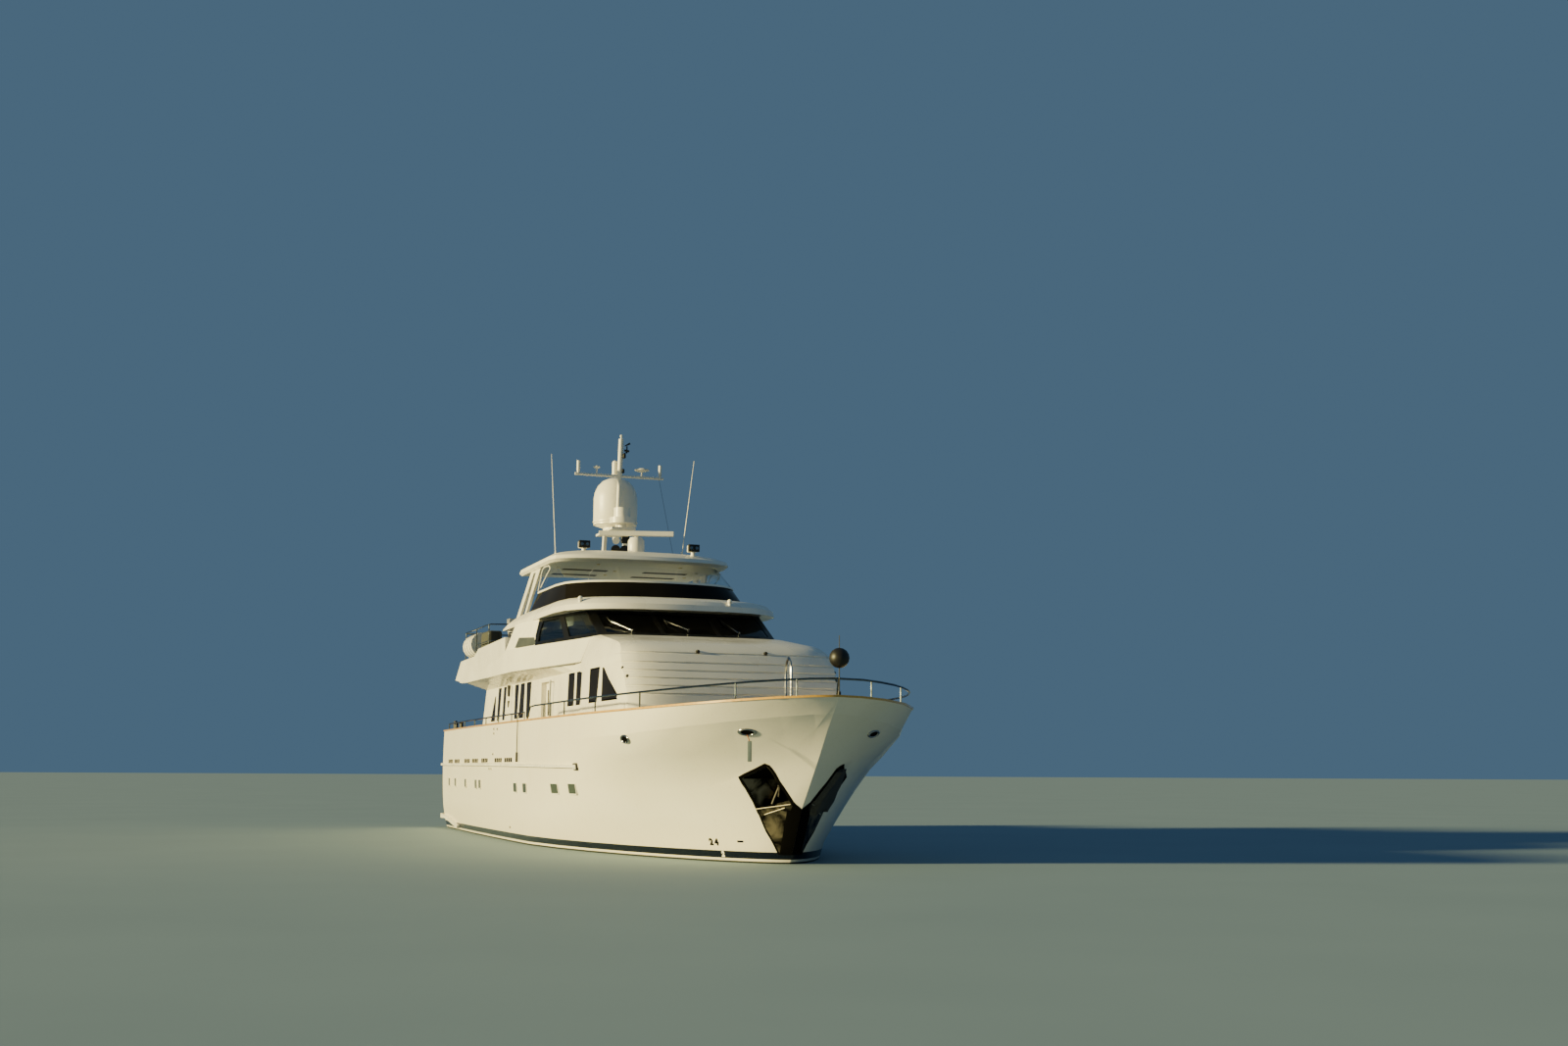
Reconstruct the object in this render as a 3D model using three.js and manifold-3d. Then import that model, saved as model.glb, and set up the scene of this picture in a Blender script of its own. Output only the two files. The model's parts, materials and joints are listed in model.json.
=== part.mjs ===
// A 27 m raised-pilothouse motor yacht. Millimetres, +X forward, +Y to port, +Z up,
// with the origin on the waterline, on the centreline, amidships.
import * as THREE from 'three';
import { mergeVertices } from 'three/addons/utils/BufferGeometryUtils.js';
import Module from 'manifold-3d';

const wasm = await Module();
wasm.setup();

// Driving dimensions
const GAP = 0.3; // between pieces that rest on each other
const WIDEST_X = 1000; // where the hull is widest
const TRANSOM_X = -12600;
const STEM_HEAD_X = 13600;
const CAP_Z = 2975; // top of the bulwark amidships
const MAIN_DECK_Z = 1970;
const FOREDECK_Z = 2270;
const BULWARK = 110; // thickness of the bulwark
const KEEL_Z = -2100;
const HOUSE_HALF = 2450; // deckhouse half-width
const HOUSE_JOINT_X = 3700; // where the ribbed front joins the deckhouse
const WALL = 120;
const SOFFIT_Z = 4100; // underside of the bridge deck at the deckhouse wall
const BRIDGE_UNDER_Z = 4290; // underside at the bridge deck's edge
const BRIDGE_DECK_Z = 4400;
const SILL_Z = 4870; // under the pilothouse windows
const BROW_Z = 5560; // over the pilothouse windows
const BEAM_HALF = 3100; // bridge deck half-width
const TAPER_X = -1400; // where the bridge side starts to narrow
const FLY_FLOOR_Z = 5350;
const FLY_TOP_Z = 5920;
const SCREEN_TOP_Z = 6400;
const HARDTOP_Z = 7050;
const HARDTOP_CROWN_Z = 7430;
const SIDES = [['starboard', -1], ['port', 1]];

// Finishes
const finish = (color, roughness, metalness = 0) => (
  new THREE.MeshStandardMaterial({ color, roughness, metalness }));
const whitePaint = finish(0xece6d8, 0.3);
const teak = finish(0xb0712c, 0.4);
const steel = finish(0xc8c8c6, 0.2, 1);
const bronze = finish(0xa07a3c, 0.35, 1);
const blackPaint = finish(0x17150f, 0.5);
const darkGlass = finish(0x10161d, 0.05);
const clearGlass = finish(0xb8ccd4, 0.05);
const greyPlastic = finish(0x6f7578, 0.6);
const whitePlastic = finish(0xefece2, 0.35);
const upholstery = finish(0xe9e4d6, 0.8);
const coverCloth = finish(0x55544a, 0.9);
const castIron = finish(0x3a3a38, 0.6, 0.6);

const v3 = (x, y, z) => new THREE.Vector3(x, y, z);

// A closed geometry as a solid that can be cut and joined
function solidOf(geometry) {
  const bare = new THREE.BufferGeometry();
  bare.setAttribute('position', geometry.getAttribute('position').clone());
  if (geometry.index) bare.setIndex(geometry.index.clone());
  const merged = mergeVertices(bare, 1e-3);
  return new wasm.Manifold(new wasm.Mesh({
    numProp: 3,
    vertProperties: new Float32Array(merged.getAttribute('position').array),
    triVerts: new Uint32Array(merged.index.array),
  }));
}

// The mean point and the area direction of a loop
function middleAndNormal(loop) {
  const middle = v3(0, 0, 0);
  const normal = v3(0, 0, 0);
  loop.forEach((point, i) => {
    middle.addScaledVector(point, 1 / loop.length);
    normal.add(point.clone().cross(loop[(i + 1) % loop.length]));
  });
  return { middle, normal };
}

// A closed solid through a row of loops that have the same number of points
function skin(givenLoops) {
  const first = middleAndNormal(givenLoops[0]);
  const last = middleAndNormal(givenLoops[givenLoops.length - 1]);
  const along = last.middle.clone().sub(first.middle);
  const turned = first.normal.dot(along) < 0;
  const loops = turned ? givenLoops.map((loop) => [...loop].reverse()) : givenLoops;
  const count = loops[0].length;
  const faces = [];
  for (let ring = 0; ring < loops.length - 1; ring += 1) {
    for (let i = 0; i < count; i += 1) {
      const a = ring * count + i;
      const b = ring * count + ((i + 1) % count);
      faces.push(a, b, b + count, a, b + count, a + count);
    }
  }
  const normal = first.normal.clone().multiplyScalar(turned ? -1 : 1);
  const drop = ['x', 'y', 'z'].reduce((m, k) => (Math.abs(normal[k]) > Math.abs(normal[m]) ? k : m), 'x');
  const flatten = {
    x: (p) => new THREE.Vector2(p.y, p.z),
    y: (p) => new THREE.Vector2(p.z, p.x),
    z: (p) => new THREE.Vector2(p.x, p.y),
  }[drop];
  [0, loops.length - 1].forEach((ring) => {
    const flat = loops[ring].map(flatten);
    const wanted = Math.sign(normal[drop]) * (ring === 0 ? -1 : 1);
    THREE.ShapeUtils.triangulateShape(flat, []).forEach(([a, b, c]) => {
      const area = flat[b].clone().sub(flat[a]).cross(flat[c].clone().sub(flat[a]));
      const [p, q] = area * wanted > 0 ? [b, c] : [c, b];
      faces.push(ring * count + a, ring * count + p, ring * count + q);
    });
  });
  const geometry = new THREE.BufferGeometry();
  const places = loops.flat().flatMap((p) => [p.x, p.y, p.z]);
  geometry.setAttribute('position', new THREE.Float32BufferAttribute(places, 3));
  geometry.setIndex(faces);
  return solidOf(geometry);
}

// Straight blocks along each axis, from an outline of pairs
const blockY = (outline, from, to) => skin([from, to].map((y) => outline.map(([x, z]) => v3(x, y, z))));
const blockX = (outline, from, to) => skin([from, to].map((x) => outline.map(([y, z]) => v3(x, y, z))));
const blockZ = (outline, from, to) => skin([from, to].map((z) => outline.map(([x, y]) => v3(x, y, z))));
const box = ([x0, x1], [y0, y1], [z0, z1]) => blockZ([[x0, y0], [x1, y0], [x1, y1], [x0, y1]], z0, z1);
// A box between two distances outboard on one side
const sideBox = (xs, side, [near, far], zs) => box(xs, side > 0 ? [near, far] : [-far, -near], zs);

// A round bar between two points, with its far end's radius if it tapers
function rod(from, to, radius, sides = 8, endRadius = radius) {
  const along = to.clone().sub(from);
  const geometry = new THREE.CylinderGeometry(endRadius, radius, along.length(), sides);
  geometry.translate(0, along.length() / 2, 0);
  geometry.applyQuaternion(new THREE.Quaternion().setFromUnitVectors(v3(0, 1, 0), along.normalize()));
  geometry.translate(from.x, from.y, from.z);
  return solidOf(geometry);
}

// A bent tube through a few points
function tube(points, radius, steps, sides = 6) {
  const section = new THREE.Shape();
  for (let i = 0; i < sides; i += 1) {
    const turn = (2 * Math.PI * i) / sides;
    const place = [radius * Math.cos(turn), radius * Math.sin(turn)];
    if (i === 0) section.moveTo(...place);
    else section.lineTo(...place);
  }
  const path = new THREE.CatmullRomCurve3(points, false, 'catmullrom', 0.35);
  return solidOf(new THREE.ExtrudeGeometry(section, { extrudePath: path, steps, bevelEnabled: false }));
}

// A turned piece on a vertical axis, from pairs of radius and height
const turned = (profile, x, y, sides = 20) => {
  const geometry = new THREE.LatheGeometry(profile.map(([r, h]) => new THREE.Vector2(r, h)), sides);
  geometry.rotateX(Math.PI / 2);
  geometry.translate(x, y, 0);
  return solidOf(geometry);
};

const joined = (solids) => solids.reduce((whole, each) => whole.add(each));

// What is left of a piece after a cut, without the chips
const largest = (solid) => solid.decompose().sort((a, b) => b.volume() - a.volume())[0];

// Straight-line reading of a table of pairs
function read(table, at) {
  const upper = table.findIndex(([key]) => key >= at);
  if (upper === 0) return table[0][1];
  if (upper < 0) return table[table.length - 1][1];
  const [[k0, a], [k1, b]] = [table[upper - 1], table[upper]];
  return a + ((b - a) * (at - k0)) / (k1 - k0);
}

const yacht = new THREE.Group();

// One named piece in a group, which stands where its solid was made unless it is placed
function piece(group, name, body, material) {
  const mesh = body.getMesh();
  const geometry = new THREE.BufferGeometry();
  geometry.setAttribute('position', new THREE.Float32BufferAttribute(mesh.vertProperties, 3));
  geometry.setIndex(Array.from(mesh.triVerts));
  geometry.computeVertexNormals();
  const part = new THREE.Mesh(geometry, material);
  part.name = name;
  group.add(part);
  return part;
}

const assembly = () => {
  const group = new THREE.Group();
  yacht.add(group);
  return group;
};

// Hull

// Waterlines from the keel to the bulwark's top
// Columns: height, rise at the bow, aft end, stem, half-beam, half-beam aft, bow fullness, bow roundness
const WATERLINES = [
  [-1600, 0, -6500, 8000, 420, 180, 1.6, 1.2],
  [-1450, 0, -7600, 9000, 1250, 450, 1.55, 1.25],
  [-1200, 0, -9000, 9700, 2050, 950, 1.5, 1.3],
  [-800, 0, -11000, 10250, 2620, 1800, 1.5, 1.35],
  [-450, 0, TRANSOM_X, 10600, 2900, 2420, 1.5, 1.45],
  [60, 0, TRANSOM_X, 11040, 3060, 2740, 1.5, 1.6],
  [360, 0, TRANSOM_X, 11220, 3100, 2810, 1.7, 1.5],
  [700, 0, TRANSOM_X, 11420, 3140, 2865, 2.13, 1.4],
  [1050, 0, TRANSOM_X, 11620, 3165, 2890, 2.67, 1.3],
  [1400, 0, TRANSOM_X, 11950, 3185, 2905, 3.34, 1.15],
  [1850, 0, TRANSOM_X, 12370, 3200, 2915, 4.47, 1],
  [2100, 0, TRANSOM_X, 12600, 3200, 2915, 5.36, 1],
  [2540, 50, TRANSOM_X, 13010, 3200, 2910, 7.1, 1.03],
  [CAP_Z, 185, TRANSOM_X, STEM_HEAD_X, 3200, 2900, 5.4, 1.65],
];
// Stations of a waterline, as shares of its length, closer together towards the stem
const STATIONS = [0, 0.12, 0.25, 0.37, 0.48, 0.58, 0.67, 0.75, 0.82, 0.88, 0.925, 0.96, 0.984, 0.996];
const SHEER_START_X = 6600; // forward of this the bulwark's top rises
const SHEER_POWER = 3.6;
const BREAST = 260; // thickness of the bulwark at the stem

function waterlineAt(z) {
  const column = (i) => read(WATERLINES.map((row) => [row[0], row[i]]), z);
  const [rise, aft, stem, beam, aftBeam, fullness, roundness] = [1, 2, 3, 4, 5, 6, 7].map(column);
  return { z, rise, aft, stem, beam, aftBeam, fullness, roundness };
}

function halfBeam(line, x) {
  if (x > WIDEST_X) {
    const u = Math.min(1, (x - WIDEST_X) / (line.stem - WIDEST_X));
    return line.beam * (1 - u ** line.fullness) ** (1 / line.roundness);
  }
  const v = (WIDEST_X - x) / (WIDEST_X - line.aft);
  return line.beam - (line.beam - line.aftBeam) * v ** 2;
}

const sheerShare = (x) => Math.max(0, x - SHEER_START_X) / (STEM_HEAD_X - SHEER_START_X);
const sheerRise = (line, x) => line.rise * sheerShare(x) ** SHEER_POWER;
const capLine = waterlineAt(CAP_Z);
const capHeight = (x) => CAP_Z + sheerRise(capLine, x);

// One side of a waterline from the transom corner to the stem, moved outwards or inwards
function waterlineSide(z, out) {
  const line = waterlineAt(z);
  const points = [...STATIONS, 1].map((share) => {
    const x = line.aft + (line.stem - line.aft) * share;
    return new THREE.Vector2(x, share === 1 ? 0 : halfBeam(line, x));
  });
  return points.map((point, i) => {
    const height = z + sheerRise(line, point.x);
    if (i === 0) return v3(point.x - out, point.y + out, height);
    if (i === points.length - 1) return v3(point.x + out, 0, height);
    const along = points[i + 1].clone().sub(points[i - 1]).normalize();
    return v3(point.x - along.y * out, point.y + along.x * out, height);
  });
}
// The whole outline from one side of it
const mirrored = (side) => [
  ...side.map((p) => v3(p.x, -p.y, p.z)),
  ...side.slice(0, -1).reverse(),
];
const hullLoop = (z, grow = 0) => mirrored(waterlineSide(z, grow));
const hullForm = (grow) => skin(WATERLINES.map(([z]) => hullLoop(z, grow)));

// The inside face of the bulwark at one height, with the breast hook left in the stem
function wellLoop(z, lift = 0) {
  const side = waterlineSide(z, -BULWARK);
  side[side.length - 1].x -= BREAST - BULWARK;
  return mirrored(side.map((p) => v3(p.x, p.y, p.z + lift)));
}

const hullGroup = assembly();
const hullFit = hullForm(GAP);
const deckWell = skin([wellLoop(MAIN_DECK_Z), wellLoop(2540), wellLoop(CAP_Z), wellLoop(CAP_Z, 400)])
  .subtract(box([HOUSE_JOINT_X, 14000], [-3500, 3500], [1000, FOREDECK_Z]));
const KEEL_HALF = 130;
const keelSide = [
  [7800, -1450], [6900, KEEL_Z], [-6200, KEEL_Z], [-8200, -1500], [-8200, -1100], [7800, -1100],
];
const keel = blockY(keelSide, -KEEL_HALF, KEEL_HALF);
const GATE_Y = [300, 1100];
const THRUSTER = { x: 9000, z: -760, radius: 230, reach: 3000 };
const thrusterEnd = (side) => v3(THRUSTER.x, side * THRUSTER.reach, THRUSTER.z);
const thrusterTunnel = rod(thrusterEnd(-1), thrusterEnd(1), THRUSTER.radius, 16);

// Anchor pockets, seen from the side
const PLATE_OUTLINE = [
  [11135, 1682], [11765, 1942], [11800, 1910], [11680, 1245],
  [11645, 1070], [11160, 180], [11000, 180], [11010, 1012],
];
const POCKET_OUTLINE = [[11178, 1648], [11750, 1885], [11640, 1240], [11058, 1065]];
const POCKET_INNER_Y = 140;
const pocket = (side) => blockY(POCKET_OUTLINE, side * POCKET_INNER_Y, side * 2200);

// Bores for the rudder stocks and the stabiliser stocks
const RUDDER = { x: -11600, y: 1350, topZ: -860, bottomZ: -1800, boreTopZ: -400, stock: 55, bore: 57 };
const rudderStock = (side, z) => v3(RUDDER.x, side * RUDDER.y, z);
const FIN = { x: 600, y: 2350, z: -1130, boreEnd: -400, stock: 60, bore: 62 };
const finAxis = (side) => v3(0, side * Math.SQRT1_2, -Math.SQRT1_2);
const finPoint = (side, distance) => v3(FIN.x, side * FIN.y, FIN.z).addScaledVector(finAxis(side), distance);
const HATCH = { x0: 9000, x1: 9760, half: 380, coaming: 90, lid: 60 };

let hull = hullForm(0).add(keel).subtract(deckWell).subtract(thrusterTunnel);
hull = hull.subtract(box([TRANSOM_X - 50, TRANSOM_X + BULWARK + 20], GATE_Y, [MAIN_DECK_Z, 3400]));
const coamingZ = [FOREDECK_Z - 20, FOREDECK_Z + HATCH.coaming];
hull = hull.add(box([HATCH.x0, HATCH.x1], [-HATCH.half, HATCH.half], coamingZ));
SIDES.forEach(([, side]) => {
  hull = hull.subtract(pocket(side));
  hull = hull.subtract(rod(rudderStock(side, -1200), rudderStock(side, RUDDER.boreTopZ), RUDDER.bore, 16));
  hull = hull.subtract(rod(finPoint(side, FIN.boreEnd), finPoint(side, 600), FIN.bore, 16));
});
piece(hullGroup, 'hull', hull, whitePaint);

// Varnished cap rail on the bulwark, open at the transom gate
const CAP_THICK = 40;
const CAP_LIP = 25;
const capLoop = (lift) => hullLoop(CAP_Z, CAP_LIP).map((p) => v3(p.x, p.y, p.z + lift));
const capHole = skin([wellLoop(CAP_Z, -60), wellLoop(CAP_Z, 200)]);
// The rail keeps clear of the hull's top and of its flared side
const capClearance = [[0, 0, 0], [0, 0, GAP], [0, GAP, 0], [0, -GAP, 0], [GAP, 0, 0]];
let capRail = skin([capLoop(0.6), capLoop(CAP_THICK)])
  .subtract(capHole)
  .subtract(hullFit.translate([0, 0, GAP]))
  .subtract(box([TRANSOM_X - 100, TRANSOM_X + 300], GATE_Y, [2900, 3300]));
capClearance.forEach((shift) => {
  capRail = capRail.subtract(hull.translate(shift));
});
piece(hullGroup, 'cap_rail', largest(capRail), teak);

// A strip that lies on the hull's side, from rows of x and height
function hullStrip(rows, side, proud, height) {
  const loops = rows.map(([x, z]) => {
    const y = halfBeam(waterlineAt(z), Math.max(x, TRANSOM_X));
    const section = [
      [y - 40, z - height / 2], [y + proud, z - height / 3],
      [y + proud, z + height / 3], [y - 40, z + height / 2],
    ];
    return section.map(([across, up]) => v3(x, side * across, up));
  });
  return skin(loops).subtract(hullFit);
}

// Rub rails, each row a place along the hull and its height
const RUB_RAIL = [
  [TRANSOM_X + 5, 1950], [-9500, 1945], [-6300, 1935], [-3300, 1925],
  [-600, 1910], [2000, 1895], [4300, 1880], [6100, 1870],
];
const RUB = { proud: 70, height: 100 };
SIDES.forEach(([name, side]) => {
  piece(hullGroup, `rub_rail_${name}`, largest(hullStrip(RUB_RAIL, side, RUB.proud, RUB.height)), whitePaint);
});

// Swim platform with its quarter rails, and the ladder to the transom gate
const PLATFORM = { x: -13500, half: 2860, z0: 290, z1: 430 };
const platformSlab = blockZ([
  [TRANSOM_X - GAP, -PLATFORM.half], [-13100, -PLATFORM.half], [PLATFORM.x, -2300],
  [PLATFORM.x, 2300], [-13100, PLATFORM.half], [TRANSOM_X - GAP, PLATFORM.half],
], PLATFORM.z0, PLATFORM.z1);
const QUARTER_RAIL = [[-12750, 370], [-12200, 350], [-11400, 300], [-10500, 210], [-9500, 110]];
const quarterRails = SIDES.map(([, side]) => hullStrip(QUARTER_RAIL, side, 90, 120));
piece(hullGroup, 'swim_platform', joined([platformSlab, ...quarterRails]), whitePaint);

const LADDER_FOOT_Z = PLATFORM.z1 + 12; // the ladder hangs from the transom, clear of the platform
const LADDER_Y = [GATE_Y[0] + 60, GATE_Y[1] - 60];
const TREADS_Z = [760, 1060, 1360, 1660];
const ladderRails = LADDER_Y.map((y) => blockY([
  [-13150, LADDER_FOOT_Z], [-13050, LADDER_FOOT_Z],
  [TRANSOM_X - GAP, 1860], [TRANSOM_X - GAP, 1960], [-12680, 1960],
], y - 20, y + 20));
const ladderTreads = TREADS_Z.map((z) => {
  const x = read([[430, -13080], [1960, -12650]], z);
  return box([x - 60, x + 90], LADDER_Y, [z - 15, z + 15]);
});
piece(hullGroup, 'transom_ladder', joined([...ladderRails, ...ladderTreads]), steel);

// Gate in the transom bulwark, hung on its port edge and opening inwards
const gateHinge = v3(TRANSOM_X + BULWARK + 12, GATE_Y[1], 0);
const HINGE_PIN = 11.6;
const gate = joined([
  box([TRANSOM_X + 40, TRANSOM_X + 100], [GATE_Y[0] + 10, GATE_Y[1] - 10], [MAIN_DECK_Z + 15, CAP_Z]),
  ...[2250, 2800].flatMap((z) => [
    rod(v3(gateHinge.x, gateHinge.y, z - 40), v3(gateHinge.x, gateHinge.y, z + 40), HINGE_PIN, 10),
    box([TRANSOM_X + 95, gateHinge.x], [GATE_Y[1] - 90, GATE_Y[1] - 2], [z - 30, z + 30]),
  ]),
]);
piece(hullGroup, 'transom_gate', gate, whitePaint);

// Anchor plates, the stowed port anchor and the ground tackle on the foredeck
const onHull = (outline, side, inner, outer) => hullForm(outer)
  .subtract(hullForm(inner))
  .intersect(blockY(outline, side * 3, side * 2500));
SIDES.forEach(([name, side]) => {
  const plate = onHull(PLATE_OUTLINE, side, GAP, 14).subtract(pocket(side));
  piece(hullGroup, `anchor_plate_${name}`, largest(plate), blackPaint);
});
const ANCHOR_OUTLINE = [
  [11680, 1850], [11725, 1780], [11610, 1220], [11440, 950],
  [11270, 1090], [11080, 1005], [11120, 1200], [11330, 1500],
];
const anchorBody = onHull(ANCHOR_OUTLINE, 1, 14 + GAP, 110);
piece(hullGroup, 'stowed_anchor', largest(anchorBody), castIron);

// Windlass: a bed, a gearcase, and a shaft with a chain wheel and a warping drum on each side
const WINDLASS = { x: 10250, shaftZ: FOREDECK_Z + 300 };
const windlassShaft = (from, to, radius, sides) => (
  rod(v3(WINDLASS.x, from, WINDLASS.shaftZ), v3(WINDLASS.x, to, WINDLASS.shaftZ), radius, sides));
const windlass = joined([
  box([WINDLASS.x - 300, WINDLASS.x + 300], [-260, 260], [FOREDECK_Z + GAP, FOREDECK_Z + 130]),
  box([WINDLASS.x - 160, WINDLASS.x + 160], [-170, 170], [FOREDECK_Z + 130, FOREDECK_Z + 430]),
  windlassShaft(-430, 430, 60, 12),
  ...SIDES.flatMap(([, side]) => [
    windlassShaft(side * 200, side * 290, 150, 16),
    windlassShaft(side * 330, side * 460, 110, 16),
  ]),
]);
piece(hullGroup, 'windlass', windlass, steel);

// Foredeck hatch lid, hung at its aft edge
const hatchTop = FOREDECK_Z + HATCH.coaming;
const hatchHinge = v3(HATCH.x0 - 12, 0, hatchTop + GAP + 15);
const hatchPin = (y) => (
  rod(v3(hatchHinge.x, y - 50, hatchHinge.z), v3(hatchHinge.x, y + 50, hatchHinge.z), 14, 10));
const hatchLidX = [HATCH.x0 - 2, HATCH.x1 + 20];
const hatchLidY = [-HATCH.half - 20, HATCH.half + 20];
const hatchLid = joined([
  box(hatchLidX, hatchLidY, [hatchTop + GAP, hatchTop + HATCH.lid]),
  ...[-250, 250].map(hatchPin),
]);
piece(hullGroup, 'foredeck_hatch', hatchLid, whitePaint);

// Rails on the cap rail. A rail runs from x0 to x1, a little inboard of the bulwark's edge
const RAIL_IN = 60;
const RAIL_RADIUS = 21;
const STANCHION_RADIUS = 16;
const railPoint = (x, side, z) => v3(x, side * (halfBeam(capLine, x) - RAIL_IN), z);
const stanchion = (x, side, topZ) => (
  rod(railPoint(x, side, capHeight(x) + 10), railPoint(x, side, topZ), STANCHION_RADIUS, 6));
const onCapRail = (rail) => largest(rail.subtract(capRail).subtract(capRail.translate([0, 0, GAP])));
const BOW_RAIL_UP = 345;
const bowRailHeight = (x) => capHeight(x) + BOW_RAIL_UP;
const BOW_RAIL_XS = [1400, 2800, 4900, 7000, 8800, 10200, 11300, 12200, 12900, 13300, 13480];
const BOW_STANCHION_XS = [2790, 3500, 4860, 7480, 10000, 12580, 13350];
const bowRailSide = (side) => [
  railPoint(880, side, CAP_Z + 10),
  railPoint(980, side, CAP_Z + 250),
  ...BOW_RAIL_XS.map((x) => railPoint(x, side, bowRailHeight(x))),
];
const bowRailPath = [...bowRailSide(-1), v3(13545, 0, bowRailHeight(13545)), ...bowRailSide(1).reverse()];
const bowRail = joined([
  tube(bowRailPath, RAIL_RADIUS, 52, 5),
  ...SIDES.flatMap(([, side]) => BOW_STANCHION_XS.map((x) => stanchion(x, side, bowRailHeight(x)))),
  rod(v3(13470, 0, capHeight(13470) + 10), v3(13545, 0, bowRailHeight(13545)), STANCHION_RADIUS, 6),
]);
piece(hullGroup, 'bow_rail', onCapRail(bowRail), steel);

const HAND_RAIL_Z = CAP_Z + 220;
const HAND_RAIL_XS = [-11900, -10300, -8500, -6600, -4700, -2800, -1000, 600];
SIDES.forEach(([name, side]) => {
  const rail = tube(HAND_RAIL_XS.map((x) => railPoint(x, side, HAND_RAIL_Z)), RAIL_RADIUS, 10, 5);
  const posts = HAND_RAIL_XS.map((x) => stanchion(x, side, HAND_RAIL_Z));
  piece(hullGroup, `hand_rail_${name}`, onCapRail(joined([rail, ...posts])), steel);
});

// A line with a weight, made fast to the starboard hand rail and hanging over the side
const LINE = { x: 300, foot: 2222, weightZ: 1985, radius: 12, weightRadius: 28 };
const lineOut = halfBeam(capLine, LINE.x) + CAP_LIP + 22;
const lineStart = halfBeam(capLine, LINE.x) - RAIL_IN + RAIL_RADIUS + 0.5;
const lineRoute = [
  v3(LINE.x, -lineStart, HAND_RAIL_Z),
  v3(LINE.x, -lineStart - 34, HAND_RAIL_Z - 10),
  v3(LINE.x, -lineOut + 7, 3120),
  v3(LINE.x + 5, -lineOut, 2900), v3(LINE.x, -lineOut, 2600), v3(LINE.x - 10, -lineOut, LINE.foot),
];
piece(hullGroup, 'hanging_line', tube(lineRoute, LINE.radius, 18, 8), blackPaint);
const weightAxis = (z) => v3(LINE.x - 10, -lineOut, z);
const weight = rod(weightAxis(LINE.weightZ), weightAxis(LINE.foot - GAP), LINE.weightRadius, 12);
piece(hullGroup, 'line_weight', weight, blackPaint);

// Jackstaff with its round day shape, and the hoop on the foredeck
const JACK_X = 13590;
const JACK_TOP_Z = 4300;
const BALL = { radius: 190, z: 3880 };
const jackFoot = capHeight(JACK_X) + 10;
const jackBall = new THREE.SphereGeometry(BALL.radius, 16, 8);
jackBall.rotateX(Math.PI / 2);
jackBall.translate(JACK_X, 0, BALL.z);
const jackstaff = joined([
  rod(v3(JACK_X, 0, jackFoot), v3(JACK_X, 0, JACK_TOP_Z), 13, 8, 7),
  rod(v3(JACK_X, 0, jackFoot), v3(JACK_X, 0, jackFoot + 90), 32, 10),
  solidOf(jackBall),
]);
piece(hullGroup, 'jackstaff', onCapRail(jackstaff), blackPaint);
const HOOP_X = [10720, 11020];
const HOOP_TOP_Z = 4040;
const hoopLeg = [FOREDECK_Z + GAP, 3200, 3850];
const hoop = tube([
  ...hoopLeg.map((z) => v3(HOOP_X[0], 0, z)),
  v3((HOOP_X[0] + HOOP_X[1]) / 2, 0, HOOP_TOP_Z),
  ...hoopLeg.reverse().map((z) => v3(HOOP_X[1], 0, z)),
], 24, 28);
piece(hullGroup, 'foredeck_hoop', hoop, steel);

// Running gear
const SHAFT_TILT = THREE.MathUtils.degToRad(5);
const PROP = { x: -10550, y: 1350, z: -1450, radius: 450, hub: 85, hubLength: 260 };
const shaftLine = (distance, side) => (
  v3(PROP.x + distance * Math.cos(SHAFT_TILT), side * PROP.y, PROP.z + distance * Math.sin(SHAFT_TILT)));

// One blade, standing up from a hub that lies along X
function blade(hand) {
  // Columns: radius, chord, thickness
  const SECTIONS = [
    [60, 170, 34], [140, 260, 26], [240, 330, 18], [340, 320, 12], [410, 230, 8], [PROP.radius, 90, 5],
  ];
  const PITCH = 620;
  return skin(SECTIONS.map(([radius, chord, thick]) => {
    const slope = Math.atan(PITCH / (2 * Math.PI * radius));
    const run = v3(Math.sin(slope), hand * Math.cos(slope), 0).multiplyScalar(chord / 2);
    const face = v3(Math.cos(slope), -hand * Math.sin(slope), 0).multiplyScalar(thick / 2);
    const middle = v3(0, 0, radius);
    return [run, face, run.clone().negate(), face.clone().negate()].map((step) => middle.clone().add(step));
  }));
}

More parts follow.
